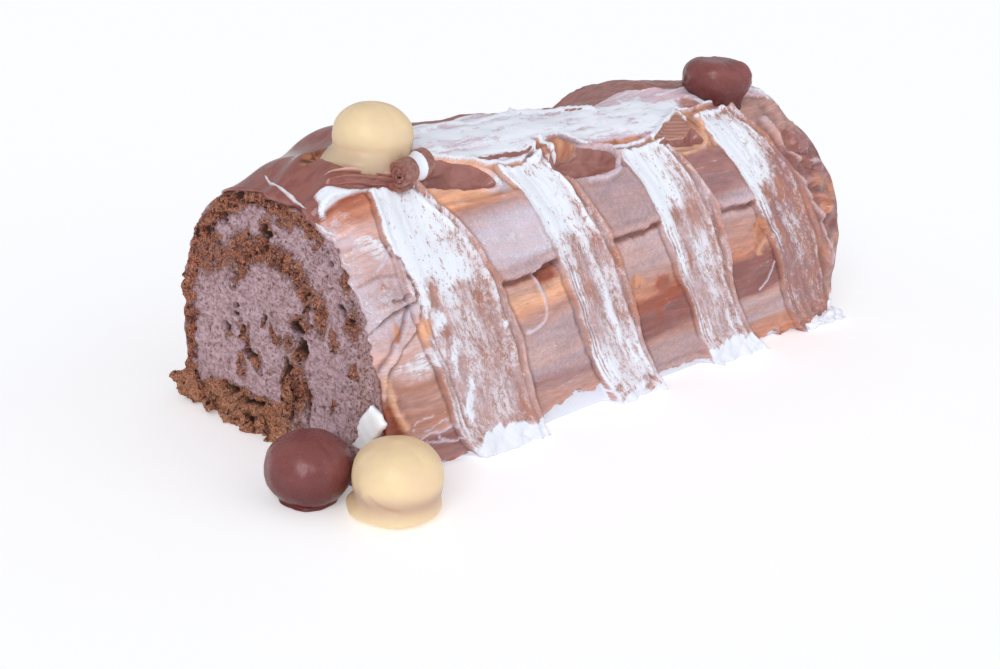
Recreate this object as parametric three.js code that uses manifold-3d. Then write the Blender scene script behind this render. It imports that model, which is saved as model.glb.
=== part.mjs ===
// A chocolate roll cake: a sponge sheet rolled up with mousse, coated with marbled icing that was
// pulled down in broad palette-knife strokes, with two bonbons on top and two at its foot.
// Millimetres, +Z up. The roll lies along X on the floor z = 0, with its shown cut face at -X and its
// shown side at -Y. The origin is under the middle of the roll.
import * as THREE from 'three';
import { mergeVertices } from 'three/addons/utils/BufferGeometryUtils.js';
import Module from 'manifold-3d';

const wasm = await Module();
wasm.setup();

// Driving sizes of the roll
const ROLL_LENGTH = 248;
const CORE_HALF_WIDTH = 50;
const CORE_HEIGHT = 87;
const COAT_HALF_WIDTH = 52.6;
const COAT_HEIGHT = 95;
const WIDEST_HEIGHT = 30; // a slumped roll is widest below its middle
const AXIS_HEIGHT = 44; // the line that the sponge winds round
const FIT_GAP = 0.3; // between pieces that touch
const COAT_GAP = 0.55; // under the coat, whose flat facets cut the corners of its curve
const COAT_OVERHANG = 1; // beyond the sponge and the mousse at both ends
const THINNEST_COAT = 0.8;

// Roundness of the section above and below its widest height
const UPPER_POWER = 2.05;
const LOWER_POWER = 4;
const LOWER_REACH = 1.5; // the lower curve would close this many times WIDEST_HEIGHT down

// The sponge strip, by winding angle in degrees from the +Y side, growing over the top
const SPONGE = {
  start: -112,
  end: 640,
  thick: 7.4,
  lump: 6.5, // extra thickness of the folded outer end
  stepIn: [150, 270], // where the outer turn leaves the outline
  innerRadius: 24,
  coreRadius: 9,
  closeIn: [505, 640],
};

// Palette-knife strokes of white icing, by the x of their middle at the top and at the foot of each side
const STROKES = [
  { near: { top: -100, foot: -67 }, far: { top: -93, foot: -73 } },
  { near: { top: -43, foot: -4 }, far: { top: -37, foot: -8 } },
  { near: { top: 14, foot: 57 }, far: { top: 20, foot: 49 } },
  { near: { top: 67, foot: 109 }, far: { top: 78, foot: 104 } },
];
const STROKE_TOP = 92; // arc up the coat from its foot
const STROKE_HALF_WIDTH = 10.5;
const STROKE_BELLY = 5; // how much wider each side is at half height
const STROKE_BOW = -5; // how far their middle lies along x from a straight line at half height
const STROKE_RISE = 0.8;
const STROKE_RIDGE = 2;
const RIDGE_WIDTH = 2.2;
const STROKE_LIP = 2.2;
const FOOT_FLARE = 5;
const FLARE_HEIGHT = 20;
const HEM_RISE = 6; // the coat between strokes ends this far above the floor

// Between strokes a second layer stands out above a lower lip, and a glossy hollow lies above it
const PAD = { arcs: [58, 84], rise: 1.2, lip: 1.5 };
const HOLLOW = { arc: 90, depth: 1.6 };

// A long swipe covers the top, from a wavy lip on the near side
const SWIPE_LIP = { arc: 101, wave: 3.5, rise: 1.8 };

// Chocolate spread over the top of the shown end rolls up into a curl at its near edge
const DRAPE = { end: -82, arcs: [94, 162], rise: 2.4 };
const CURL = { x: -88, arc: 99, rise: 5, radius: 6 };

// The chocolate ridge along the far side of the top
const FAR_RIDGE = { from: -8, to: 92, arc: 140, rise: 3.4, width: 6 };

const CARAMEL_COLOUR = 0xe6c999;
const MILK_COLOUR = 0x78433b;

// Bonbons: "at" is the middle of the underside, "skirt" is how far the coating ran out at the foot
const BONBONS = [
  { name: 'bonbon_caramel_top', at: [-95.3, -14.2, 87.6], radius: 12.9, height: 22, skirt: 1.6 },
  { name: 'bonbon_milk_top', at: [80.8, -14.4, 87.6], radius: 13.6, height: 18.8, skirt: 0.2 },
  { name: 'bonbon_milk_foot', at: [-141, -39.5, 0], radius: 13.2, height: 21.5, skirt: 0.5 },
  { name: 'bonbon_caramel_foot', at: [-127.5, -65, 0], radius: 13, height: 23.5, skirt: 1.8 },
];

const RAD = Math.PI / 180;
const lerp = THREE.MathUtils.lerp;
const clamp = THREE.MathUtils.clamp;
const smooth = (from, to, value) => THREE.MathUtils.smoothstep(value, from, to);
const bell = (value, width) => Math.exp(-((value / width) ** 2));

// A soft uneven value between -1 and 1 that repeats nowhere on the cake
function wobble(a, b, scale, seed) {
  const p = a / scale;
  const q = b / scale;
  return (
    0.5 * Math.sin(2.1 * p + 1.3 * q + seed) +
    0.3 * Math.sin(-1.7 * p + 3.1 * q + 2.3 * seed) +
    0.2 * Math.sin(4.3 * p + 2.9 * q + 4.1 * seed)
  );
}

// Distance from the roll's axis to a section outline, at an angle from +Y turning up
function sectionRadius(angle, halfWidth, height) {
  const c = Math.cos(angle);
  const s = Math.sin(angle);
  const outside = (r) => {
    const across = Math.abs(r * c) / halfWidth;
    const rise = AXIS_HEIGHT + r * s - WIDEST_HEIGHT;
    if (rise > 0) return across ** UPPER_POWER + (rise / (height - WIDEST_HEIGHT)) ** UPPER_POWER > 1;
    return across ** LOWER_POWER + (-rise / (WIDEST_HEIGHT * LOWER_REACH)) ** LOWER_POWER > 1;
  };
  let low = 0;
  let high = 2 * height;
  for (let i = 0; i < 40; i++) {
    const mid = (low + high) / 2;
    if (outside(mid)) high = mid;
    else low = mid;
  }
  return s < 0 ? Math.min(low, -AXIS_HEIGHT / s) : low;
}

const coreRadius = (angle) => sectionRadius(angle, CORE_HALF_WIDTH, CORE_HEIGHT);
const coatRadius = (angle) => sectionRadius(angle, COAT_HALF_WIDTH, COAT_HEIGHT);

// Half the width of a section where it meets the floor
const footHalfWidth = (halfWidth) =>
  halfWidth * (1 - (1 / LOWER_REACH) ** LOWER_POWER) ** (1 / LOWER_POWER);

// The coat's angle for an arc length measured up from its -Y foot
const COAT_FOOT = Math.atan2(AXIS_HEIGHT, footHalfWidth(COAT_HALF_WIDTH));
const ARC_STEPS = 600;
const arcTable = [];
for (let i = 0, arc = 0, last = null; i <= ARC_STEPS; i++) {
  const angle = lerp(Math.PI + COAT_FOOT, -COAT_FOOT, i / ARC_STEPS);
  const r = coatRadius(angle);
  const point = new THREE.Vector2(r * Math.cos(angle), r * Math.sin(angle));
  if (last) arc += point.distanceTo(last);
  last = point;
  arcTable.push({ arc, angle });
}
const COAT_ARC = arcTable[ARC_STEPS].arc;

function coatAngle(arc) {
  const after = clamp(arcTable.findIndex((row) => row.arc >= arc), 1, ARC_STEPS);
  const a = arcTable[after - 1];
  const b = arcTable[after];
  return lerp(a.angle, b.angle, (arc - a.arc) / (b.arc - a.arc));
}

// The largest of the pieces that a solid has come apart into
const largest = (solid) => solid.decompose().sort((a, b) => b.volume() - a.volume())[0];

// Closed solid from lists of points and triangles
function solidOf(points, triangles) {
  const geometry = new THREE.BufferGeometry();
  geometry.setAttribute('position', new THREE.Float32BufferAttribute(points.flat(), 3));
  geometry.setIndex(triangles.flat());
  const merged = mergeVertices(geometry, 1e-4);
  return new wasm.Manifold(
    new wasm.Mesh({
      numProp: 3,
      vertProperties: merged.attributes.position.array,
      triVerts: new Uint32Array(merged.index.array),
    }),
  );
}

function meshOf(solid, name, colour, roughness) {
  const made = solid.getMesh();
  const geometry = new THREE.BufferGeometry();
  geometry.setAttribute('position', new THREE.BufferAttribute(made.vertProperties, 3));
  geometry.setIndex(new THREE.BufferAttribute(made.triVerts, 1));
  geometry.computeVertexNormals();
  const material = new THREE.MeshStandardMaterial({ color: colour, roughness, metalness: 0 });
  const mesh = new THREE.Mesh(geometry, material);
  mesh.name = name;
  return mesh;
}

// Where the coat starts and stops along the roll. At the shown end it draws back at both feet, because
// mousse bulges out at the near one and the sponge's folded end lies at the far one.
function coatFront(arc) {
  const back = 4 * (1 - smooth(22, 46, arc)) + 7 * smooth(150, 172, arc);
  return -ROLL_LENGTH / 2 - COAT_OVERHANG + back + 1.2 * wobble(arc, 0, 8, 5);
}

const coatBack = (arc) => ROLL_LENGTH / 2 + COAT_OVERHANG + 1.6 * wobble(arc, 0, 9, 7);

// A stroke's middle and half width at an arc. Over the top its edges run on to the far side's stroke.
function strokeAt(stroke, arc) {
  const far = arc > COAT_ARC / 2;
  const rise = clamp((far ? COAT_ARC - arc : arc) / STROKE_TOP, 0, 1);
  const { top, foot } = far ? stroke.far : stroke.near;
  const across = clamp((arc - STROKE_TOP) / (COAT_ARC - 2 * STROKE_TOP), 0, 1);
  const middle = rise < 1 ? lerp(foot, top, rise) : lerp(stroke.near.top, stroke.far.top, across);
  const halfWay = Math.sin(Math.PI * rise);
  const half = STROKE_HALF_WIDTH + STROKE_BELLY * halfWay + 1.5 * (1 - rise);
  return { middle: middle + STROKE_BOW * halfWay + wobble(arc, middle, 24, 1), half };
}

// How far a place is outside the nearest stroke: negative inside it
function beyondStroke(x, arc) {
  const gaps = STROKES.map((stroke) => {
    const { middle, half } = strokeAt(stroke, arc);
    return Math.abs(x - middle) - half;
  });
  return Math.min(...gaps);
}

// How far the icing stands out from the plain coat
function relief(x, arc) {
  const up = Math.min(arc, COAT_ARC - arc);
  const beyond = beyondStroke(x, arc);
  const inside = 1 - smooth(-1.5, 1, beyond);
  const side = 1 - smooth(STROKE_TOP - 2, STROKE_TOP + 2, up);
  const stroke = side * (STROKE_RISE * inside + STROKE_RIDGE * bell(beyond, RIDGE_WIDTH));
  const lip = STROKE_LIP * inside * bell(up - STROKE_TOP, 2.5);
  const flare = FOOT_FLARE * (1 - smooth(-1, 3, beyond)) * Math.max(0, 1 - up / FLARE_HEIGHT) ** 2;
  const [padLow, padHigh] = PAD.arcs;
  const padded = smooth(padLow - 1, padLow + 1, up) * (1 - smooth(padHigh - 1, padHigh + 1, up));
  const pad = (1 - inside) * (PAD.rise * padded + PAD.lip * bell(up - padLow - 1, 2.5));
  const hollow = -HOLLOW.depth * (1 - inside) * bell(up - HOLLOW.arc, 4);
  const swipe = SWIPE_LIP.rise * bell(arc - SWIPE_LIP.arc - SWIPE_LIP.wave * wobble(x, 0, 13, 2), 3);
  const drape = DRAPE.rise * (1 - smooth(DRAPE.end - 5, DRAPE.end, x + 4 * wobble(arc, 0, 16, 2)))
    * smooth(DRAPE.arcs[0] - 2, DRAPE.arcs[0] + 2, arc) * (1 - smooth(DRAPE.arcs[1] - 4, DRAPE.arcs[1], arc));
  const curl = CURL.rise * bell(Math.hypot(x - CURL.x, arc - CURL.arc), CURL.radius);
  const ridge = FAR_RIDGE.rise * bell(arc - FAR_RIDGE.arc, FAR_RIDGE.width)
    * smooth(FAR_RIDGE.from, FAR_RIDGE.from + 18, x) * (1 - smooth(FAR_RIDGE.to - 10, FAR_RIDGE.to, x));
  return stroke + lip + flare + pad + hollow + swipe + drape + curl + ridge + 0.4 * wobble(x, arc, 9, 3);
}

// The coat thins out to its two ends, further in over the top of the far one, where it is lumpy
function endThickness(x, arc) {
  const overTop = bell(arc - COAT_ARC / 2, 60);
  const front = smooth(0, 12, x - coatFront(arc));
  const back = smooth(0, 12 + 14 * overTop, coatBack(arc) - x + 3 * wobble(arc, x, 7, 9));
  return lerp(0.16, 1, Math.min(front, back));
}

// Rows of the icing's grid, by arc: closer at the foot and where the lips are. The far side mirrors them.
const ROW_ARCS = [0, 3, 8, 14, 21, 28, 36, 44, 51, 56, 59, 63, 70, 77, 83, 86, 89, 92, 95, 98, 102, 108, 116];

// Columns follow the edges of the strokes, so that their ridges stay sharp
function columnsAt(arc) {
  const lines = [coatFront(arc)];
  const upTo = (x, steps) => {
    const from = lines[lines.length - 1];
    for (let i = 1; i <= steps; i++) lines.push(lerp(from, Math.max(x, from + 0.2), i / steps));
  };
  STROKES.forEach((stroke, i) => {
    const { middle, half } = strokeAt(stroke, arc);
    upTo(middle - half - RIDGE_WIDTH, i ? 4 : 3);
    upTo(middle - half, 1);
    upTo(middle - half + RIDGE_WIDTH, 1);
    upTo(middle + half - RIDGE_WIDTH, 3);
    upTo(middle + half, 1);
    upTo(middle + half + RIDGE_WIDTH, 1);
  });
  upTo(coatBack(arc), 5);
  return lines;
}

function icing() {
  const arcs = [...ROW_ARCS, ...ROW_ARCS.map((arc) => COAT_ARC - arc).reverse()];
  const rows = arcs.length - 1;
  const grid = arcs.map((arc) => columnsAt(arc));
  const columns = grid[0].length - 1;
  const points = [];
  for (let i = 0; i <= columns; i++) {
    for (let k = 0; k <= rows; k++) {
      const x = grid[k][i];
      const fromFoot = Math.min(arcs[k], COAT_ARC - arcs[k]);
      const lifted = HEM_RISE * smooth(0, 5, beyondStroke(x, arcs[k])) * (1 - smooth(0, 21, fromFoot));
      const arc = arcs[k] + lifted * (k < rows / 2 ? 1 : -1);
      const angle = coatAngle(arc);
      const inner = coreRadius(angle) + COAT_GAP;
      const thick = (coatRadius(angle) - inner + relief(x, arc)) * endThickness(x, arc);
      const r = inner + Math.max(THINNEST_COAT, thick);
      points.push([x, r * Math.cos(angle), Math.max(0, AXIS_HEIGHT + r * Math.sin(angle))]);
    }
  }
  const outer = (i, k) => i * (rows + 1) + k;
  const innerFoot = footHalfWidth(CORE_HALF_WIDTH) + COAT_GAP;
  const innerStart = points.length;
  for (const end of [0, 1]) {
    for (let k = 0; k <= rows; k++) {
      const angle = coatAngle(arcs[k]);
      const r = coreRadius(angle) + COAT_GAP;
      const x = end ? coatBack(arcs[k]) : coatFront(arcs[k]);
      if (k === 0 || k === rows) points.push([x, k ? innerFoot : -innerFoot, 0]);
      else points.push([x, r * Math.cos(angle), AXIS_HEIGHT + r * Math.sin(angle)]);
    }
  }
  const inner = (end, k) => innerStart + end * (rows + 1) + k;
  const triangles = [];
  const quad = (a, b, c, d) => triangles.push([a, b, c], [a, c, d]);
  for (let i = 0; i < columns; i++) {
    for (let k = 0; k < rows; k++) {
      quad(outer(i, k), outer(i + 1, k), outer(i + 1, k + 1), outer(i, k + 1));
    }
  }
  for (let k = 0; k < rows; k++) {
    quad(inner(0, k), inner(0, k + 1), inner(1, k + 1), inner(1, k));
    quad(outer(0, k), outer(0, k + 1), inner(0, k + 1), inner(0, k));
    quad(outer(columns, k + 1), outer(columns, k), inner(1, k), inner(1, k + 1));
  }
  // The soles of the two feet are fans between the outer edge and the straight inner edge
  const middle = Math.round(columns / 2);
  for (let i = 0; i < columns; i++) {
    const end = i < middle ? 0 : 1;
    triangles.push([outer(i + 1, 0), outer(i, 0), inner(end, 0)]);
    triangles.push([outer(i, rows), outer(i + 1, rows), inner(end, rows)]);
  }
  triangles.push([inner(1, 0), outer(middle, 0), inner(0, 0)]);
  triangles.push([inner(0, rows), outer(middle, rows), inner(1, rows)]);
  return solidOf(points, triangles);
}

const TURN_STEP = 8; // degrees of winding from one row of the sponge's points to the next

// Outer and inner radius of the sponge strip at a winding angle in degrees
function strip(turn) {
  const outline = coreRadius(turn * RAD);
  const left = smooth(SPONGE.stepIn[0], SPONGE.stepIn[1], turn);
  const closing = smooth(SPONGE.closeIn[0], SPONGE.closeIn[1], turn);
  const turned = lerp(SPONGE.innerRadius, SPONGE.coreRadius, closing);
  const rough = left * 0.8 * wobble(turn, 0, 11, 4);
  const outer = lerp(outline, turned, left) + rough;
  const lump = SPONGE.lump * bell(turn - SPONGE.start, 20);
  const thin = 3.2 * bell(turn - 275, 45) + 2.2 * smooth(500, 600, turn);
  const thick = SPONGE.thick + lump - thin + 0.7 * wobble(turn, 0, 13, 6);
  return { outer, inner: outer - thick };
}

function crumbs(y, z, seed) {
  return 1.1 * wobble(y, z, 3.1, seed) + 0.7 * wobble(z, y, 1.7, seed + 3);
}

function sponge() {
  const acrossSteps = 3;
  const turns = Math.round((SPONGE.end - SPONGE.start) / TURN_STEP);
  const points = [];
  for (const end of [0, 1]) {
    for (let i = 0; i <= turns; i++) {
      const turn = lerp(SPONGE.start, SPONGE.end, i / turns);
      const { outer, inner } = strip(turn);
      for (let j = 0; j <= acrossSteps; j++) {
        const r = lerp(inner, outer, j / acrossSteps);
        const y = r * Math.cos(turn * RAD);
        const z = Math.max(0, AXIS_HEIGHT + r * Math.sin(turn * RAD));
        const x = ROLL_LENGTH / 2 + crumbs(y, z, end ? 1 : 2);
        points.push([end ? x : -x, y, z]);
      }
    }
  }
  const at = (end, i, j) => end * (turns + 1) * (acrossSteps + 1) + i * (acrossSteps + 1) + j;
  const triangles = [];
  const quad = (a, b, c, d) => triangles.push([a, b, c], [a, c, d]);
  for (let i = 0; i < turns; i++) {
    for (let j = 0; j < acrossSteps; j++) {
      quad(at(0, i, j), at(0, i + 1, j), at(0, i + 1, j + 1), at(0, i, j + 1));
      quad(at(1, i, j), at(1, i, j + 1), at(1, i + 1, j + 1), at(1, i + 1, j));
    }
    quad(at(0, i, 0), at(1, i, 0), at(1, i + 1, 0), at(0, i + 1, 0));
    const last = acrossSteps;
    quad(at(0, i + 1, last), at(1, i + 1, last), at(1, i, last), at(0, i, last));
  }
  for (let j = 0; j < acrossSteps; j++) {
    quad(at(0, 0, j), at(0, 0, j + 1), at(1, 0, j + 1), at(1, 0, j));
    quad(at(0, turns, j + 1), at(0, turns, j), at(1, turns, j), at(1, turns, j + 1));
  }
  return solidOf(points, triangles);
}

// The room that the sponge strip needs in the mousse, open to the outline on its outer turn
function spongeRoom() {
  const beyond = ROLL_LENGTH / 2 + 20;
  const turns = Math.round((SPONGE.end - SPONGE.start) / TURN_STEP);
  const points = [];
  for (const x of [-beyond, beyond]) {
    for (let i = 0; i <= turns; i++) {
      const turn = lerp(SPONGE.start, SPONGE.end, i / turns);
      const cut = turn + (i === 0 ? -0.8 : 0) + (i === turns ? 2.5 : 0);
      const { outer, inner } = strip(turn);
      const open = 4 * (1 - smooth(SPONGE.stepIn[0], SPONGE.stepIn[0] + 12, turn));
      for (const r of [inner - FIT_GAP, outer + FIT_GAP + open]) {
        points.push([x, r * Math.cos(cut * RAD), AXIS_HEIGHT + r * Math.sin(cut * RAD)]);
      }
    }
  }
  const at = (end, i, j) => end * (turns + 1) * 2 + i * 2 + j;
  const triangles = [];
  const quad = (a, b, c, d) => triangles.push([a, b, c], [a, c, d]);
  for (let i = 0; i < turns; i++) {
    quad(at(0, i, 0), at(0, i + 1, 0), at(0, i + 1, 1), at(0, i, 1));
    quad(at(1, i, 0), at(1, i, 1), at(1, i + 1, 1), at(1, i + 1, 0));
    quad(at(0, i, 0), at(1, i, 0), at(1, i + 1, 0), at(0, i + 1, 0));
    quad(at(0, i + 1, 1), at(1, i + 1, 1), at(1, i, 1), at(0, i, 1));
  }
  quad(at(0, 0, 0), at(0, 0, 1), at(1, 0, 1), at(1, 0, 0));
  quad(at(0, turns, 1), at(0, turns, 0), at(1, turns, 0), at(1, turns, 1));
  return solidOf(points, triangles);
}

// Mousse that was squeezed out at the foot of the shown face, towards the bonbons
const footBulge = (y, z) => 3.5 * bell(y + 38, 13) * bell(z - 6, 11);

function mousse() {
  const rings = 6;
  const spokes = 48;
  const points = [];
  for (const end of [0, 1]) {
    const half = (y, z) =>
      ROLL_LENGTH / 2 + 0.4 * wobble(y, z, 6, end ? 8 : 9) + (end ? 0 : footBulge(y, z));
    points.push([(end ? 1 : -1) * half(0, AXIS_HEIGHT), 0, AXIS_HEIGHT]);
    for (let ring = 1; ring <= rings; ring++) {
      for (let spoke = 0; spoke < spokes; spoke++) {
        const angle = (2 * Math.PI * spoke) / spokes;
        const r = (coreRadius(angle) * ring) / rings;
        const y = r * Math.cos(angle);
        const z = Math.max(0, AXIS_HEIGHT + r * Math.sin(angle));
        points.push([(end ? 1 : -1) * half(y, z), y, z]);
      }
    }
  }
  const perEnd = rings * spokes + 1;
  const at = (end, ring, spoke) => end * perEnd + (ring ? 1 + (ring - 1) * spokes + (spoke % spokes) : 0);
  const triangles = [];
  for (let spoke = 0; spoke < spokes; spoke++) {
    const next = spoke + 1;
    triangles.push([at(0, 0, 0), at(0, 1, next), at(0, 1, spoke)]);
    triangles.push([at(1, 0, 0), at(1, 1, spoke), at(1, 1, next)]);
    for (let ring = 1; ring < rings; ring++) {
      const [a, b, c, d] = [[ring, spoke], [ring, next], [ring + 1, next], [ring + 1, spoke]];
      triangles.push([at(0, ...a), at(0, ...b), at(0, ...c)], [at(0, ...a), at(0, ...c), at(0, ...d)]);
      triangles.push([at(1, ...a), at(1, ...c), at(1, ...b)], [at(1, ...a), at(1, ...d), at(1, ...c)]);
    }
    const rim = [at(0, rings, spoke), at(0, rings, next), at(1, rings, next), at(1, rings, spoke)];
    triangles.push([rim[0], rim[1], rim[2]], [rim[0], rim[2], rim[3]]);
  }
  return largest(solidOf(points, triangles).subtract(spongeRoom()));
}

// A dipped bonbon: a dome on a wider foot where the coating ran down. A grown one is the room it needs.
function bonbon({ at, radius, height, skirt }, grow = 0) {
  const rows = 10;
  const spokes = 20;
  const seed = at[0];
  const points = [[at[0], at[1], at[2] - grow]];
  for (let row = 1; row < rows; row++) {
    const slope = (Math.PI * row) / rows;
    const lift = (height / 2) * (1 - Math.cos(slope));
    for (let spoke = 0; spoke < spokes; spoke++) {
      const angle = (2 * Math.PI * spoke) / spokes;
      const uneven = 1 + 0.025 * Math.sin(2 * angle + seed) + 0.02 * Math.sin(3 * angle + 2 * seed);
      const run = skirt * bell(lift - 2, 3) * (1 + 0.4 * Math.sin(4 * angle + seed));
      const r = radius * uneven * Math.sin(slope) ** 0.62 + run + grow;
      const z = row === 1 ? at[2] - grow : at[2] + lift + grow * ((2 * lift) / height - 1);
      points.push([at[0] + r * Math.cos(angle), at[1] + r * Math.sin(angle), z]);
    }
  }
  points.push([at[0], at[1], at[2] + height + grow]);
  const top = points.length - 1;
  const on = (row, spoke) => 1 + (row - 1) * spokes + (spoke % spokes);
  const triangles = [];
  for (let spoke = 0; spoke < spokes; spoke++) {
    const next = spoke + 1;
    triangles.push([0, on(1, next), on(1, spoke)], [top, on(rows - 1, spoke), on(rows - 1, next)]);
    for (let row = 1; row < rows - 1; row++) {
      triangles.push([on(row, spoke), on(row, next), on(row + 1, next)]);
      triangles.push([on(row, spoke), on(row + 1, next), on(row + 1, spoke)]);
    }
  }
  return solidOf(points, triangles);
}

// The coat and the mousse give way to the bonbons that are pressed into them
const bonbonRoom = BONBONS.map((each) => bonbon(each, FIT_GAP)).reduce((all, one) => all.add(one));

const roll = new THREE.Group();
roll.add(meshOf(sponge(), 'sponge', 0x7c4423, 0.95));
roll.add(meshOf(largest(mousse().subtract(bonbonRoom)), 'mousse', 0xb8968f, 0.8));
roll.add(meshOf(largest(icing().subtract(bonbonRoom)), 'icing', 0xd3a892, 0.45));

const bonbons = new THREE.Group();
for (const each of BONBONS) {
  const colour = each.name.includes('milk') ? MILK_COLOUR : CARAMEL_COLOUR;
  bonbons.add(meshOf(bonbon(each), each.name, colour, 0.35));
}

const cake = new THREE.Group();
cake.add(roll, bonbons);

export default cake;
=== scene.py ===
"""A chocolate roll cake: sponge wound round mousse, marbled icing in broad knife strokes, four bonbons.

Sizes and places are in millimetres until a mesh is made. The roll lies along X on the floor z = 0, with
its shown cut face at -X and its shown side at -Y. A place on the icing is an x and an arc, which is
measured up over the roll from its foot on the shown side. Where noise, rough or wobble has a last whole
number, that is its seed.
"""
import itertools
import math

import bpy
import numpy as np
from mathutils import Matrix, Vector


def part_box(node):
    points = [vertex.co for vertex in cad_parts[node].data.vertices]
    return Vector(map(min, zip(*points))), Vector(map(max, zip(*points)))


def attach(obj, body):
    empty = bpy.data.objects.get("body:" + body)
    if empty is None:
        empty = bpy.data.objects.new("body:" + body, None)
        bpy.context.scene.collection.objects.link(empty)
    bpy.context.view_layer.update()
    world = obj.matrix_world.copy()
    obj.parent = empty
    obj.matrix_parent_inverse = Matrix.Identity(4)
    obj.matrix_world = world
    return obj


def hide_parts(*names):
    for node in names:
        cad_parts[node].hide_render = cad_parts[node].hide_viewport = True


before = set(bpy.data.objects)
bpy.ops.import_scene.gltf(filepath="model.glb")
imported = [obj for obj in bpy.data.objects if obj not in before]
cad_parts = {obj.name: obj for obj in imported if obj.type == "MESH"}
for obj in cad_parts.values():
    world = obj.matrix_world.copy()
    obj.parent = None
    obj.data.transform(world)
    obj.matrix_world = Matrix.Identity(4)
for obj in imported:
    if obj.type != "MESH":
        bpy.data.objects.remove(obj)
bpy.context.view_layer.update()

MM = 0.001
ROLL_LENGTH = 248
CORE_HALF_WIDTH = 50
CORE_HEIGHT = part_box("sponge")[1].z / MM
COAT_HALF_WIDTH = 52.6
COAT_HEIGHT = 95
WIDEST_HEIGHT = 30
AXIS_HEIGHT = 44
UPPER_POWER = 2.05
LOWER_POWER = 4
LOWER_REACH = 1.5
COAT_GAP = 0.3

# The sponge strip, by winding angle in degrees from the +Y side, growing over the top
SPONGE_START = -112
SPONGE_END = 640
SPONGE_THICK = 7.4
SPONGE_LUMP = 6.5
STEP_IN = (150, 270)
INNER_RADIUS = 24
CORE_RADIUS = 9
CLOSE_IN = (505, 640)

# How the top sinks towards each end: the angle from +Y turning up, how wide, how deep and how far along
FRONT_SLUMP = (93, 42, 5.8, 24)
BACK_SLUMP = (128, 24, 3.6, 26)
# Arcs where the strokes start: the first and the last on the shown side, and all on the far side
FIRST_TIP = 94.5
LAST_TIP = 99
STROKE_TOP = 92
FOOT_FLARE = 5

# Places on the icing are (x, arc). Each stroke has a left and a right edge on the shown side. "dense" is how
# far down its white is whole at the left and at the right edge, "mid" and "low" are the shares of white
# further down, "foot" is the arc of its white foot, and "far" is how its far side is shifted at top and foot.
STROKES = (
    {
        "left": ((-82, 0), (-91, 9), (-96, 19), (-101, 32), (-106.5, 46), (-110, 60), (-112, 76),
         (-108.5, 93)),
        "right": ((-52, 0), (-58, 13), (-65, 33), (-71, 50), (-79, 72), (-86, 85), (-91, 93)),
        "tone": "pink", "dense": (59, 57), "mid": 0.4, "low": 0.4, "foot": 8, "fleck": 0.25, "far": (7, -6),
    },
    {
        "left": ((-16, 0), (-21, 8), (-32, 24), (-40, 41), (-46, 60), (-50, 78), (-55, 93)),
        "right": ((9, 0), (6, 5), (-5, 25), (-11, 38), (-16, 57), (-23, 73), (-31, 93)),
        "tone": "pink", "dense": (60, 64), "mid": 0.45, "low": 0.62, "foot": 3, "fleck": 0.3,
        "far": (6, -4),
    },
    {
        "left": ((42, 0), (34, 10), (24, 28), (15, 41), (9, 57), (5, 75), (1, 93)),
        "right": ((73, 0), (64, 9), (50, 28), (45, 41), (41, 61), (35, 77), (26, 93)),
        "tone": "pink", "dense": (56, 80), "mid": 0.5, "low": 0.45, "foot": 9, "fleck": 0.38,
        "far": (6, -8),
    },
    {
        "left": ((100, 0), (88, 14), (79, 35), (69, 50), (63, 64), (57, 82), (53, 99)),
        "right": ((123, 0), (121, 9), (110, 33), (99, 55), (92, 72), (84, 88), (77, 99)),
        "tone": "plum", "dense": (54, 80), "mid": 0.34, "low": 0.16, "foot": 3, "fleck": 0.4,
        "far": (11, -5),
    },
)

# Colours of the cake, as red, green and blue light, and how glossy each is
TINTS = {
    "white": (0.88, 0.9, 0.98, 0.1),
    "lilac": (0.7, 0.58, 0.66, 0.1),
    "frost": (0.77, 0.65, 0.73, 0.1),
    "petal": (0.8, 0.585, 0.68, 0.3),
    "pink": (0.62, 0.42, 0.42, 0.2),
    "taupe": (0.51, 0.345, 0.355, 0.12),
    "rose": (0.53, 0.29, 0.25, 0.45),
    "apricot": (0.9, 0.46, 0.28, 0.7),
    "amber": (0.6, 0.25, 0.16, 0.85),
    "honey": (0.72, 0.4, 0.27, 0.8),
    "plum": (0.38, 0.19, 0.185, 0.4),
    "russet": (0.34, 0.075, 0.035, 0.8),
    "rust": (0.48, 0.215, 0.15, 0.4),
    "blush": (0.74, 0.46, 0.42, 0.5),
    "cocoa": (0.27, 0.085, 0.072, 0.75),
}
WHITE = TINTS["white"][:3]

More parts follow.
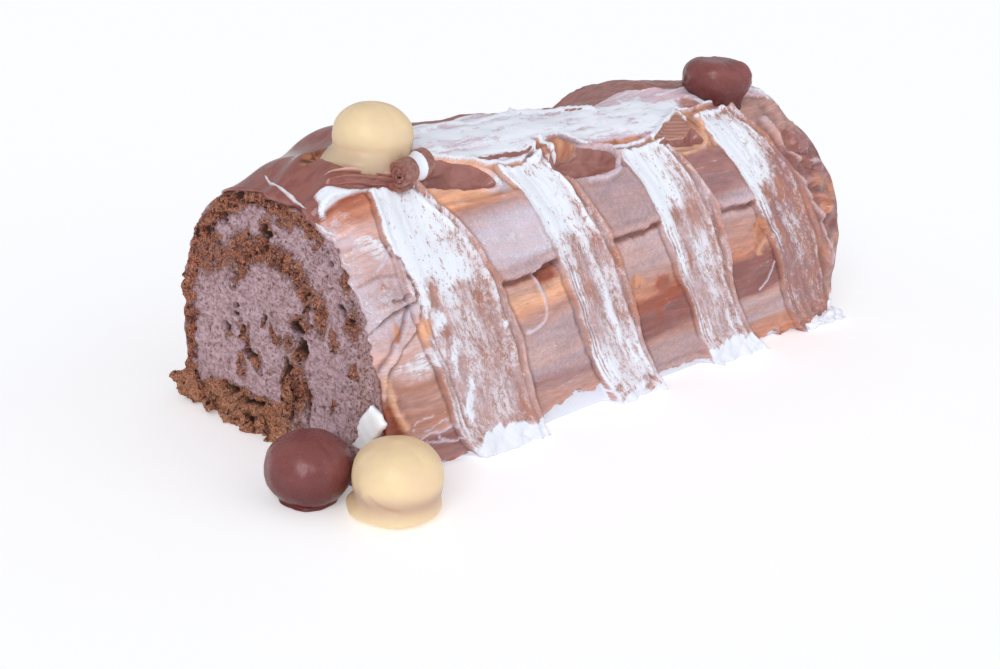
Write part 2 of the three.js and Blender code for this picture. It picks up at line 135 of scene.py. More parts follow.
# What shows in the fields between the strokes: how steep it runs, how high its white hem is, and each arc
# from the foot up with its colour
BANDS = (
    (0.0, 1,
     "0 russet, 4 plum, 12 cocoa, 15 rose, 20 rust, 27 rose, 33 rust, 37 pink, 40 rose, 44 blush, "
     "49 pink, 56 lilac, 62 lilac, 67 pink, 76 blush, 82 blush, 86 amber, 91 amber, 93.5 russet, "
     "94.5 white"),
    (0.09, 8,
     "9 rose, 14 rose, 18 plum, 22 taupe, 26 pink, 31 pink, 34 taupe, 37 pink, 42 rose, 48 apricot, "
     "55 rose, 58 taupe, 61 pink, 65 frost, 73 frost, 77 pink, 80 rose, 81.5 amber, 84 apricot, "
     "90 apricot"),
    (0.1, 4,
     "4 rose, 9 taupe, 15 taupe, 18 rose, 22 cocoa, 31 cocoa, 33 russet, 37 russet, 39.5 amber, "
     "43 rose, 52 pink, 58 pink, 60 rose, 61 taupe, 72 taupe, 84 taupe"),
    (0.05, 2,
     "2 russet, 4 amber, 10 amber, 11.5 rose, 13 pink, 16 taupe, 18 rose, 21 pink, 24 rose, "
     "25.5 cocoa, 38.5 cocoa, 41 amber, 50 rose, 54 rose, 57 pink, 59 pink, 60 lilac, 65 taupe, "
     "68 plum, 83 plum, 85.5 honey, 88 honey"),
    (0.0, 4,
     "4 pink, 12 rose, 22 plum, 32 rose, 42 cocoa, 50 plum, 55 amber, 62 plum, 72 cocoa, 80 plum, "
     "90 rose"),
)
# How many fields further on the far side's colours are, and how far a field's middle is from its strokes
FAR_SHIFT = 2
FIELD_MIDDLE = 14
# Raised pads near the top of the fields: how much of one each field has, its upper edge, its height and its
# lower edge
PADDED = (0, 1, 1, 1, 0.3)
PAD_HIGH = 83.5
PAD_RISE = 1.5
PAD_LIPS = ((-125, 30), (-100, 30), (-76, 56), (-66, 56), (-46, 58.5), (-13, 59.5), (5, 62), (40, 60.5),
    (64, 60), (92, 58), (126, 50))
FAR_PAD_LIP = 58

# Hollows of smooth dark chocolate above the pads: where the pale rim beside each begins, and its outline
POCKETS = (
    (-66, ((-90, 91), (-81.7, 90), (-69.7, 87.3), (-61, 86.6), (-58.5, 89), (-61, 92.5), (-66.7, 96.5),
     (-74, 101.5), (-80.5, 102.5), (-87, 104))),
    (-22, ((-33.5, 89), (-30, 84), (-23.5, 82), (-11, 81.8), (-3, 84), (1.5, 88), (0, 90.5), (-5, 91.5),
     (-15, 93.5), (-22, 96), (-30, 95))),
    (None, ((24, 89.5), (34, 90), (43, 89.8), (47, 93), (50, 94), (51, 88.7), (49.8, 86.2), (45, 85.4),
     (37.7, 86.4), (25, 88))),
)
FOLDS = ((23.5, 90.5), (30, 95), (41, 98.5), (48.5, 101), (48, 97.5), (46.5, 94), (45.5, 90.5), (34, 90.2))
SWIPE_LIP = ((-86, 105), (-76, 103), (-70, 99), (-61, 95.5), (-54, 93.5), (-45, 93.5), (-36, 96),
    (-30, 99), (-24, 100), (-18, 101), (-12, 96), (-6, 93), (1, 91), (15, 91), (26, 92), (37, 97.5),
    (49, 103), (56, 101), (80, 104), (126, 104))
DRAPE = ((-132, 89), (-124.6, 93.5), (-123.6, 93.6), (-122.6, 98), (-121.6, 101.6), (-119.8, 100.3),
    (-115, 97.4), (-107, 95), (-99, 92.3), (-93, 92.6), (-87, 98), (-84, 106), (-83, 130), (-88, 150),
    (-92, 163), (-132, 165))
DRAPE_CREST = ((-130, -4), (-118, -4.6), (-108, -5), (-101, -3.2), (-97, -1.2), (-93.5, 2.2), (-88, 3.4),
    (-80, 2.2), (-70, 0))
# Hollows in the drape: under the bonbon, and the orange-brown one in front of it
DRAPE_DIP = (-106, 110)
DRAPE_HOLLOW = (-110, 117)
# Strands that stand out of the coat: the drape's folds beside the curl, and cream along the front edge. The
# dark "groove" strands lie in the grooves between the folds, and their darkness is partly painted shade. Each
# has its colour, how deep it is sunk in, its radius along it and its path.
STRANDS = (
    ("fold", 0, (0.2, 0.8, 1, 1.1, 1.1), ((-117, 104.6), (-112.5, 103.2), (-109, 102), (-105.5, 100.2),
     (-102.5, 98.4), (-99.5, 96.8), (-98, 96.6))),
    ("groove", 0.25, (0.2, 0.7, 0.8, 0.8, 0.7), ((-117.5, 101.6), (-113, 100.2), (-108.5, 98.8),
     (-104.5, 97.2), (-101, 95.8), (-98.5, 94.9))),
    ("groove", 0.1, (0.2, 0.5, 0.5, 0.3), ((-116, 99.4), (-111, 97.4), (-106, 96), (-101, 94.3))),
    ("cream", 0.25, (0.1, 0.35, 0.6, 0.45, 0.75, 0.5, 0.1), ((-116.4, 139.8), (-119.7, 131.6),
     (-122.1, 123.5), (-122.9, 116.2), (-123.6, 108.9), (-124.6, 103), (-125, 98.4))),
    ("cream", 0.2, (0.1, 0.6, 0.95, 0.7, 0.8, 0.1), ((-126, 92.6), (-126, 90), (-125.2, 87.8),
     (-124.2, 85.8), (-123.2, 84))),
    ("cream", 0.1, (0.1, 0.4, 0.1), ((-126, 77.4), (-126, 75), (-124, 72.4))),
    ("cream", 0.1, (0.1, 0.5, 0.3, 0.55, 0.1), ((-126, 65), (-126, 61.6), (-124.6, 58.8), (-122.6, 56.8))),
)
WHITE_PATCH = ((-121.4, 101.6), (-119.8, 100.1), (-115.2, 97.3), (-108.6, 95.2), (-112, 94.8),
    (-118.4, 96), (-121, 95.6), (-122.6, 94.8), (-124, 91.5), (-124.4, 94), (-122.5, 98), (-122.4, 100.5))
FAR_CREST = ((-84, 0), (-60, -0.4), (-27, -1.6), (-8, -3.2), (0, -4), (9, -4.6), (17, -4.8), (25, -3.8),
    (32, -1.6), (37, 1), (43, 2.9), (50, 4.2), (57, 3.7), (64, 2.1), (72, 0.9), (84, 0), (95, -1), (126, 0))
FAR_CREST_ARC = 142
CREST_ARC = 137
FAR_DARK = ((-2, 122), (0.3, 116), (4, 114.4), (10.6, 112.5), (16, 116), (21.4, 119.8), (30, 121.6),
    (38.8, 122.5), (48.7, 120.7), (56, 117.5), (68, 117.1), (80, 117), (92, 123), (96, 135), (95, 150),
    (88, 156), (-6, 152), (-30, 150), (-70, 140), (-84, 128), (-70, 126), (-40, 129), (-12, 128))
FAR_OFF = 9.0
# The cover of white that is so thick that no brown shows through it, not even in hollows
THICK_WHITE = 1.3
# Over how many columns and rows of points a hollow is told from its surroundings, for the shade painted into
# hollows and the light painted onto ridges
SHADE_HOLLOWS_OVER = (7, 9)
# The share of the light that passes into icing and crumb
LIGHT_IN = 0.06

# Lines where the icing folds over itself, with painted shadow in the crease under each, and thin ridges:
# colour, height, half width and path
OVERLAPS = (
    ("pink", 0.8, 0.8, ((-115, 59.7), (-112, 59.7), (-110.3, 61.4), (-111, 68), (-111.5, 75))),
    ("pink", 1.5, 1.3, ((-126, 50), (-123.2, 54), (-118.5, 56.3), (-114, 56.9), (-108.5, 57.8),
     (-107.2, 60.8), (-109, 65.9), (-110, 71))),
    ("lilac", 0.9, 1, ((-108, 57), (-110, 55.4), (-114, 51.5), (-118.8, 47.2), (-122.5, 41))),
    ("blush", 0.9, 1, ((-122, 31), (-121.7, 36.9), (-120.6, 41.5), (-115.5, 46), (-108.7, 50), (-106.8, 55))),
)
RIDGES = (
    ("honey", 0.9, 1.3, ((-121.8, 37), (-120.6, 31), (-118.2, 25.5), (-114.6, 20))),
    ("lilac", 0.4, 0.45, ((-110.5, 75), (-114, 72), (-118, 69))),
    ("taupe", -0.4, 0.5, ((-125, 66), (-118, 67.5), (-112, 66.5))),
    ("lilac", 0.2, 0.3, ((-111, 19.8), (-107.5, 21.4), (-104.5, 21.7))),
    ("lilac", 0.25, 0.32, ((-106.5, 16.4), (-104, 17.4), (-101.5, 18.4), (-97.2, 18))),
    ("lilac", 0.3, 0.4, ((-107.5, 14), (-104, 15.6), (-100, 15), (-96, 15.8), (-92.5, 14))),
    ("lilac", 0.25, 0.35, ((-105.5, 12.8), (-102, 11.2), (-98.4, 11.4), (-95, 9.6), (-91.5, 9.8))),
    ("lilac", 0.2, 0.28, ((-110.8, 19), (-111.6, 16.5), (-111, 14))),
    ("lilac", 0.2, 0.28, ((-102, 15.2), (-100.4, 12.6), (-98.6, 11.6))),
    ("lilac", 0.6, 0.6, ((-57.5, 57), (-55.5, 52), (-53, 47), (-53, 42), (-56, 39), (-63, 38))),
    ("lilac", 0.3, 0.5, ((77, 34), (74, 29), (68, 25))),
    ("white", 2.6, 1.2, ((-37, 93), (-35, 97), (-33.5, 101))),
    ("white", 2.8, 1.2, ((-28, 92), (-28.5, 97), (-30, 102))),
    ("white", 1.4, 0.8, ((23, 91.5), (30, 95.8), (41, 99.4), (49, 103), (49.6, 98))),
    ("white", 1.3, 1.3, ((-22, 121), (-38, 118), (-52, 122), (-64, 120), (-74, 118))),
    ("white", 1.6, 1.2, ((-22, 121), (-7, 120), (4, 117), (12, 113))),
    ("honey", 1.1, 1, ((57, 99), (55, 93.5), (53, 88.2), (49.4, 84.8), (41, 83), (32, 83.4))),
    ("pink", 1.6, 1.2, ((92, 90), (95, 77), (102, 71), (111, 68), (121, 70))),
    ("pink", 1.4, 1.1, ((96, 66), (104, 56), (112, 44), (118, 30))),
)

# Dabs and smears: colour, x and arc of the middle, half size along x and along the arc, and height. One more
# number is how sharp an amber one's outline is, or the share of white in one of another colour.
DABS = (
    ("amber", -118, 64, 1.5, 1.2, 0.4), ("blush", -117, 76, 6, 5.5, 0, 0.66),
    ("white", -119.6, 88.3, 0.9, 0.7, 0.2), ("pink", -117, 61, 8, 6, 0, 0.46),
    ("amber", -117.5, 50.5, 1.6, 3.2, 0.5), ("blush", -108, 39.5, 12, 5.5, 0, 0.68),
    ("apricot", -106, 48.5, 3.6, 4.5, 0, 0.1), ("lilac", -57, 88, 3.5, 4.5, 0, 0.6),
    ("rust", 50, 95.5, 4.5, 5, 0), ("white", -73, 44, 2.4, 1.6, 0.3), ("russet", -50.5, 54.5, 5, 4, -1.5),
    ("taupe", -44, 33, 7, 8, 0.5), ("amber", -23, 95.5, 7, 4.6, 3.2, 0.35),
    ("amber", -31.5, 98, 1.6, 3.4, -0.5), ("pink", -8, 56, 5, 3.4, 0.8), ("amber", -7, 43, 4.5, 2.5, 0),
    ("russet", 7, 39.5, 4.5, 4.5, 0.4), ("russet", 6, 29, 3, 4, 0), ("amber", 67, 46, 4.5, 7, 0.3),
    ("rose", 60, 105, 7, 4.5, -0.8), ("amber", 8, 94, 13, 1.7, -0.8), ("cocoa", -48, 97.5, 14, 1.3, -0.6),
    # The cocoa, plum and russet dabs sunk in at x 101 to 111 darken hollows at the far end: dark chocolate,
    # and partly painted shadow
    ("amber", -111, 115, 5, 5.5, -1.6), ("cocoa", 101, 79, 6, 6, -3), ("rose", 93, 84, 3, 9, 1.6),
    ("rust", 108, 62, 7, 3, 3), ("cocoa", 107, 69, 6, 3.4, -2.6), ("amber", 115, 50, 5, 4, 2.6),
    ("plum", 111, 57, 5, 2.6, -2.4), ("russet", 110, 42, 4, 4, -2.6), ("pink", 117, 30, 4, 7, 0.8),
    ("rose", 112, 90, 8, 5, 1.4), ("russet", -121, 12, 7, 14, -1.2, -0.4),
    ("russet", -120, 23, 6, 9, -0.4), ("rose", -100, 57, 1.8, 4, -0.2), ("rose", -95, 42, 1.6, 4, -0.2),
    ("white", -99.5, 49.5, 3.6, 4.5, 0.2), ("white", -94.5, 38, 2.6, 8, 0.2),
    ("white", -88, 22, 3, 11, 0.2),
)

# Large primes that turn the number of a cell into one that looks random
CELL_PRIMES = (73856093, 19349663, 83492791)
SEED_PRIME = 2654435761
STIR = ((15, 2246822519), (13, 3266489917))


def smooth(start, end, value):
    """Goes softly from 0 to 1 as value goes from start to end."""
    t = np.clip((value - start) / (end - start), 0, 1)
    return t * t * (3 - 2 * t)


def fall(start, end, value):
    """Goes softly from 1 to 0."""
    return 1 - smooth(start, end, value)


def bell(value, width):
    return np.exp(-((value / width) ** 2))


def mix(a, b, share):
    return a + (b - a) * share


def wobble(a, b, scale, seed):
    """A soft uneven value between -1 and 1, the same as in the solids."""
    p = a / scale
    q = b / scale
    return (
        0.5 * np.sin(2.1 * p + 1.3 * q + seed)
        + 0.3 * np.sin(-1.7 * p + 3.1 * q + 2.3 * seed)
        + 0.2 * np.sin(4.3 * p + 2.9 * q + 4.1 * seed)
    )


def scatter(cells, seed):
    """One value between 0 and 1 for each whole-number cell."""
    h = seed * SEED_PRIME
    for axis, prime in enumerate(CELL_PRIMES):
        h = h ^ cells[..., axis] * prime
    for shift, prime in STIR:
        h = (h ^ (h >> shift)) * prime & 0xFFFFFFFF
    return ((h ^ (h >> 16)) & 0xFFFF) / 0xFFFF


def noise(a, b, c=0.0, seed=0):
    """Smooth noise between -1 and 1, with bumps about one unit wide."""
    places = np.stack(np.broadcast_arrays(a, b, c), -1).astype(float)
    cells = np.floor(places).astype(np.int64)
    part = places - cells
    part = part * part * (3 - 2 * part)
    total = 0
    for corner in itertools.product((0, 1), repeat=3):
        weight = np.prod(np.where(corner, part, 1 - part), -1)
        total = total + weight * scatter(cells + corner, seed)
    return 2 * total - 1


def rough(a, b, c=0.0, seed=0, octaves=3):
    """Noise with finer and finer bumps on it."""
    total = 0
    for octave in range(octaves):
        k = 2**octave
        total = total + noise(a * k, b * k, c * k, seed + octave) / k
    return total


def section_radius(angle, half_width, height):
    """Distance from the roll's axis to a section outline, at angles from +Y turning up."""
    c, s = np.cos(angle), np.sin(angle)
    low, high = np.zeros_like(c), np.full_like(c, 2.0 * height)
    for _ in range(30):
        r = (low + high) / 2
        across = np.abs(r * c) / half_width
        rise = AXIS_HEIGHT + r * s - WIDEST_HEIGHT
        above = across**UPPER_POWER + np.abs(rise / (height - WIDEST_HEIGHT)) ** UPPER_POWER
        below = across**LOWER_POWER + np.abs(rise / (WIDEST_HEIGHT * LOWER_REACH)) ** LOWER_POWER
        outside = np.where(rise > 0, above, below) > 1
        high = np.where(outside, r, high)
        low = np.where(outside, low, r)
    return np.where(s < 0, np.minimum(low, AXIS_HEIGHT / np.maximum(-s, 1e-9)), low)


def slump(degrees, front, back):
    """How far the top has sunk in, by the angle and by how far it is to the shown and to the far end."""
    sunk = 0
    for (angle, width, deep, along), away in ((FRONT_SLUMP, front), (BACK_SLUMP, back)):
        sunk = sunk + deep * bell(degrees - angle, width) * fall(0, along, away)
    return sunk


def foot_half_width(half_width):
    return half_width * (1 - (1 / LOWER_REACH) ** LOWER_POWER) ** (1 / LOWER_POWER)


foot_angle = math.atan2(AXIS_HEIGHT, foot_half_width(COAT_HALF_WIDTH))
COAT_ANGLES = np.linspace(math.pi + foot_angle, -foot_angle, 1201)
coat_outline = section_radius(COAT_ANGLES, COAT_HALF_WIDTH, COAT_HEIGHT)
steps = np.hypot(np.diff(coat_outline * np.cos(COAT_ANGLES)), np.diff(coat_outline * np.sin(COAT_ANGLES)))
COAT_ARCS = np.concatenate([[0], np.cumsum(steps)])
COAT_ARC = COAT_ARCS[-1]


def coat_angle(arc):
    return np.interp(arc, COAT_ARCS, COAT_ANGLES)


def coat_front(arc):
    """The coat's edge at the shown end. It lies back from the cut at both feet, most on the far side, and
    it is torn where it meets the mousse."""
    back = 4 * fall(22, 46, arc) + 7 * smooth(150, 172, arc)
    torn = 1.1 * noise(arc / 1.9, 3, 0, 57) * bell(arc - 68, 30)
    return -ROLL_LENGTH / 2 - 1 + back + 1.2 * wobble(arc, 0, 8, 5) + torn


def coat_back(arc):
    return ROLL_LENGTH / 2 + 1 + 1.6 * wobble(arc, 0, 9, 7)


def edge_line(stroke, side, up):
    """A stroke's edge at each arc above the foot, through its places with rounded corners."""
    xs, arcs = zip(*rounded(stroke[side]))
    return np.interp(up, arcs, xs)


def stroke_edges(stroke, arc):
    """A stroke's left and right edge at each arc. Over the top they run on to the far side's stroke."""
    rise = np.clip((COAT_ARC - arc) / STROKE_TOP, 0, 1)
    across = smooth(STROKE_TOP, COAT_ARC - STROKE_TOP, arc)
    edges = []
    for side, seed in (("left", 2), ("right", 3)):
        near = edge_line(stroke, side, arc)
        far = edge_line(stroke, side, COAT_ARC - arc) + mix(stroke["far"][1], stroke["far"][0], rise)
        edges.append(mix(near, far, across) + 0.5 * rough(arc / 7, near[0], 5, seed))
    return edges


def path_distance(path, x, arc):
    """How far each place is from a line, and on which side: more than 0 is on the line's left."""
    nearest = np.full(np.shape(x), 1e9)
    side = np.zeros(np.shape(x))
    for (x0, arc0), (x1, arc1) in zip(path, path[1:]):
        dx, da = x1 - x0, arc1 - arc0
        t = np.clip(((x - x0) * dx + (arc - arc0) * da) / (dx * dx + da * da), 0, 1)
        away = np.hypot(x - x0 - t * dx, arc - arc0 - t * da)
        closer = away < nearest
        side = np.where(closer, np.sign(dx * (arc - arc0) - da * (x - x0)), side)
        nearest = np.where(closer, away, nearest)
    return nearest, side


def rounded(path, closed=False, rounds=2):
    """Cuts the corners of a line of places, so that it runs smoothly."""
    for _ in range(rounds):
        pairs = list(zip(path, path[1:] + path[:1] if closed else path[1:]))
        cut = []
        for a, b in pairs:
            cut += [(0.75 * a[0] + 0.25 * b[0], 0.75 * a[1] + 0.25 * b[1])]
            cut += [(0.25 * a[0] + 0.75 * b[0], 0.25 * a[1] + 0.75 * b[1])]
        path = tuple(cut) if closed else (path[0], *cut, path[-1])
    return path


def region_depth(outline, x, arc):
    """How deep each place lies inside a closed outline, in millimetres, and less than 0 outside it."""
    outline = rounded(outline, closed=True)
    away, _ = path_distance(outline + outline[:1], x, arc)
    inside = np.zeros(np.shape(x), bool)
    for (x0, arc0), (x1, arc1) in zip(outline, outline[1:] + outline[:1]):
        crosses = (arc0 > arc) != (arc1 > arc)
        inside ^= crosses & (x < (x1 - x0) * (arc - arc0) / (arc1 - arc0 + 1e-12) + x0)
    return np.where(inside, away, -away)


def path_value(x, path, rounds=0):
    """The height at x of a line of (x, height), with its corners cut or not."""
    return np.interp(x, *zip(*rounded(path, rounds=rounds)))


def object_of(name, points, faces, material, smooth_angle=None):
    """A mesh object from an array of places in millimetres."""
    mesh = bpy.data.meshes.new(name)
    mesh.from_pydata((points * MM).tolist(), [], faces)
    mesh.polygons.foreach_set("use_smooth", [True] * len(mesh.polygons))
    if smooth_angle:
        mesh.set_sharp_from_angle(angle=math.radians(smooth_angle))
    mesh.materials.append(material)
    made = bpy.data.objects.new(name, mesh)
    bpy.context.scene.collection.objects.link(made)
    return made


def attribute(made, name, values):
    """Stores one number or one triple for each vertex, for the material to read."""
    values = np.asarray(values, np.float32)
    kind, key = ("FLOAT", "value") if values.ndim == 1 else ("FLOAT_VECTOR", "vector")
    made.data.attributes.new(name, kind, "POINT").data.foreach_set(key, values.ravel())


def dress(made, slot, *nodes):
    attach(made, "root")
    if nodes:
        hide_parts(*nodes)


def sheet(columns, rows, start=0, flip=False):
    """Quads over a grid of points that is stored column by column."""
    quads = []
    for i in range(columns - 1):
        for k in range(rows - 1):
            a = start + i * rows + k
            quad = (a, a + rows, a + rows + 1, a + 1)
            quads.append(quad[::-1] if flip else quad)
    return quads


def slab(columns, rows):
    """Faces of a closed piece between two such grids of the same size, stored one after the other."""
    one = columns * rows
    faces = sheet(columns, rows) + sheet(columns, rows, one, flip=True)
    rim = [i * rows for i in range(columns)]
    rim += [(columns - 1) * rows + j for j in range(1, rows)]
    rim += [i * rows + rows - 1 for i in range(columns - 2, -1, -1)]
    rim += list(range(rows - 2, 0, -1))
    for a, b in zip(rim, rim[1:] + rim[:1]):
        faces.append((b, a, a + one, b + one))
    return faces


def hoop(rings, spokes, start=0, flip=False):
    """Quads round a stack of rings of points, stored ring by ring."""
    quads = []
    for k in range((rings - 1) * spokes):
        a = start + k
        b = a + 1 if (k + 1) % spokes else a + 1 - spokes
        quads.append((a, a + spokes, b + spokes, b) if flip else (a, b, b + spokes, a + spokes))
    return quads


class Shader:
    """Builds a node material step by step."""

    def __init__(self, name):
        self.material = bpy.data.materials.new(name)
        self.material.use_nodes = True
        self.tree = self.material.node_tree
        self.surface = self.tree.nodes["Principled BSDF"]

    def feed(self, socket, value):
        if isinstance(value, bpy.types.NodeSocket):
            self.tree.links.new(value, socket)
        elif value is not None:
            is_colour = isinstance(value, tuple) and socket.type == "RGBA" and len(value) == 3
            socket.default_value = (*value, 1) if is_colour else value

    def node(self, kind, inputs=(), **settings):
        made = self.tree.nodes.new(kind)
        for key, value in settings.items():
            setattr(made, key, value)
        for key, value in dict(inputs).items():
            self.feed(made.inputs[key], value)
        return made

    def math(self, operation, a, b=0.0):
        return self.node("ShaderNodeMath", {0: a, 1: b}, operation=operation).outputs[0]

    def add(self, a, b):
        return self.math("ADD", a, b)

    def minus(self, a, b):
        return self.math("SUBTRACT", a, b)

    def times(self, a, b):
        return self.math("MULTIPLY", a, b)

    def most(self, a, b):
        return self.math("MAXIMUM", a, b)

    def total(self, *parts):
        """The sum of values that each count a number of times."""
        made = self.times(*parts[0])
        for value, by in parts[1:]:
            made = self.add(made, self.times(value, by))
        return made

    def step(self, value, start, end, low=0.0, high=1.0):
        """Runs from low to high as value goes from start to end."""
        inputs = {0: value, 1: start, 2: end, 3: low, 4: high}
        return self.node("ShaderNodeMapRange", inputs, interpolation_type="SMOOTHSTEP").outputs[0]

    def blend(self, share, a, b):
        return self.node("ShaderNodeMix", {0: share, 6: a, 7: b}, data_type="RGBA").outputs[2]

    def swap(self, share, a, b):
        """A number that goes from a to b as share goes from 0 to 1."""
        return self.node("ShaderNodeMix", {0: share, 2: a, 3: b}).outputs[0]

    def tinted(self, colour, by):
        """A colour made lighter or darker by a number, or by one number for red, green and blue each."""
        inputs = {0: 1.0, 6: colour, 7: (by, by, by) if isinstance(by, float) else by}
        return self.node("ShaderNodeMix", inputs, data_type="RGBA", blend_type="MULTIPLY").outputs[2]

    def scale(self, vector, by):
        return self.node("ShaderNodeVectorMath", {0: vector, 1: by}, operation="MULTIPLY").outputs[0]

    def noise(self, vector, scale=1.0, detail=3.0, roughness=0.55, distortion=0.0):
        inputs = {"Vector": vector, "Scale": scale, "Detail": detail, "Roughness": roughness}
        return self.node("ShaderNodeTexNoise", {**inputs, "Distortion": distortion}).outputs["Fac"]

    def cells(self, vector, scale):
        return self.node("ShaderNodeTexVoronoi", {"Vector": vector, "Scale": scale}).outputs["Distance"]

    def read(self, name, output="Fac"):
        return self.node("ShaderNodeAttribute", attribute_name=name).outputs[output]

    def place(self):
        """Places on the object, in millimetres."""
        return self.scale(self.node("ShaderNodeTexCoord").outputs["Object"], (1000, 1000, 1000))

    def bump(self, height, distance, strength=1.0):
        inputs = {"Height": height, "Distance": distance * MM, "Strength": strength}
        return self.node("ShaderNodeBump", inputs).outputs[0]

    def finish(self, colour, rough, normal=None, **settings):
        for key, value in {"Base Color": colour, "Roughness": rough, "Normal": normal, **settings}.items():
            self.feed(self.surface.inputs[key.replace("_", " ")], value)
        return self.material


def icing_material():
    """Chocolate colours from the mesh, with white flecks that the knife dragged over them."""
    s = Shader("icing")
    place = s.place()
    spot = s.read("spot", "Vector")
    run = s.read("run", "Vector")
    across, up, _ = s.node("ShaderNodeSeparateXYZ", {0: spot}).outputs
    cover = s.read("cover")
    in_stroke = s.read("in_stroke")
    gloss = s.read("gloss")
    deep = s.read("deep")
    rim = s.read("rim")
    dark = s.step(s.read("dark"), -0.14, 0.14)
    amber = s.step(s.read("amber"), -0.5, 0.7)
    ribbed = s.step(s.read("ribbed"), -0.2, 0.3)
    glossy = s.step(gloss, 0.2, 0.42)
    smooth_look = s.step(gloss, 0.15, 0.5)
    down_stroke = s.scale(run, (1.0, 0.50, 1.0))
    along_roll = s.scale(spot, (0.16, 1.0, 1.0))

    # White flecks, drawn out down each stroke, and along the roll where the chocolate is glossy
    coarse = s.swap(glossy, s.noise(spot, 0.65, 5.0, 0.70), s.noise(along_roll, 0.42, 4.0, 0.6, 0.3))
    coarse = s.swap(in_stroke, coarse, s.noise(down_stroke, 0.50, 4.0, 0.62, 0.3))
    fine = s.swap(glossy, s.noise(spot, 1.8, 4.0, 0.66), s.noise(along_roll, 1.5, 3.0, 0.6))
    fine = s.swap(in_stroke, fine, s.noise(down_stroke, 1.35, 4.0, 0.65))
    grain = s.noise(spot, 2.3, 3.0, 0.6)
    patchy = s.times(s.minus(s.noise(spot, 0.13, 3.0, 0.6), 0.5), 0.9)
    uneven = s.times(s.minus(1.0, in_stroke), s.step(cover, 0.1, 0.4))
    cover = s.add(cover, s.times(patchy, uneven))
    over = s.minus(s.total((coarse, 0.42), (fine, 0.36), (grain, 0.22), (cover, 0.19)), 0.60)
    crisp = s.step(over, -0.006, 0.016)
    veil = s.step(over, -0.08, 0.04, 0.0, 0.45)
    firm = s.times(crisp, s.step(cover, 0.45, 0.85, 0.68, 1.0))
    white = s.most(firm, s.times(veil, s.step(cover, 0.15, 0.5)))
    thread = s.step(s.noise(s.scale(run, (1.0, 0.035, 1.0)), 2.2, 2.0, 0.6), 0.58, 0.66, 0.0, 0.55)
    thread = s.times(thread, s.times(in_stroke, s.step(cover, 0.55, 0.9, 1.0, 0.15)))

    # The colours from the mesh, mottled, and orange-brown chocolate
    shade = s.step(fine, 0.32, 0.68, 0.90, 1.08)
    grainy = s.step(grain, 0.35, 0.65, s.swap(smooth_look, 0.90, 0.96), s.swap(smooth_look, 1.09, 1.04))
    streaked = s.tinted(s.read("colour", "Color"), s.times(shade, grainy))
    warm = s.blend(s.step(coarse, 0.42, 0.62), s.tinted(streaked, 0.90), s.tinted(streaked, 1.08))
    drift = s.step(s.noise(along_roll, 0.16, 4.0, 0.6, 0.4), 0.36, 0.64)
    warm = s.blend(drift, s.tinted(warm, (1.05, 0.96, 0.91)), s.tinted(warm, (0.96, 1.0, 1.05)))
    cloudy = s.noise(spot, 0.22, 3.0, 0.5, 0.5)
    orange = s.blend(s.step(cloudy, 0.35, 0.65), (0.42, 0.15, 0.085), (0.68, 0.31, 0.18))
    mottled = s.step(s.noise(place, 0.35, 4.0, 0.6), 0.40, 0.62)
    golden = s.blend(mottled, (0.13, 0.04, 0.018), (0.50, 0.19, 0.085))
    warm = s.blend(amber, warm, s.blend(deep, orange, golden))
    warm = s.blend(s.times(in_stroke, s.step(cover, 0.5, 0.9, 0.0, 0.6)), warm, (0.72, 0.43, 0.39))

    # White over it, then threads and specks of chocolate in the white
    pale = s.blend(glossy, (0.70, 0.56, 0.62), (0.76, 0.64, 0.71))
    # The white is painted a little darker near the feet, as shade where the coat meets the floor
    pale = s.tinted(s.blend(s.step(cover, 0.30, 0.90), pale, WHITE), s.step(up, 2.0, 18.0, 0.94, 1.0))
    colour = s.blend(thread, s.blend(white, warm, pale), (0.40, 0.21, 0.19))
    specks = s.step(s.noise(spot, 0.9, 4.0, 0.7), 0.64, 0.68)
    colour = s.blend(s.times(specks, s.step(gloss, 0.1, 0.3, 0.6, 0.0)), colour, (0.30, 0.15, 0.13))

    # Dark chocolate, the ribbed folds, and cream and bits of filling at the torn front edge
    cloudy = s.step(cloudy, 0.4, 0.6)
    cocoa = s.blend(cloudy, (0.315, 0.122, 0.10), (0.385, 0.16, 0.14))
    cocoa = s.blend(deep, cocoa, s.blend(cloudy, (0.27, 0.085, 0.07), (0.32, 0.115, 0.095)))
    colour = s.blend(dark, colour, cocoa)
    slanted = s.add(up, s.times(across, 0.17))
    waves = s.math("SINE", s.total((slanted, 3.7), (s.noise(along_roll, 0.3), 3.0)))
    # The ribbed folds are painted in stripes: darker in each trough as painted shade, with a painted
    # highlight along each crest
    folds = s.blend(s.step(waves, -0.8, 0.8), (0.38, 0.165, 0.13), (0.45, 0.215, 0.165))
    folds = s.blend(s.step(waves, 0.5, 1.0, 0.0, 0.4), folds, (0.56, 0.33, 0.28))
    colour = s.blend(ribbed, colour, folds)
    haze = s.add(s.noise(place, 0.40, 5.0, 0.65, 0.4), s.times(rim, 0.24))
    haze = s.times(s.step(haze, 0.60, 0.80, 0.0, 0.7), s.step(rim, 0.1, 0.6))
    colour = s.blend(haze, colour, (0.66, 0.51, 0.58))
    frayed = s.minus(s.noise(place, 0.75, 5.0, 0.7, 0.6), s.step(rim, 0.0, 1.0, 0.78, 0.585))
    colour = s.blend(s.step(frayed, -0.02, 0.03), colour, (0.80, 0.76, 0.86))

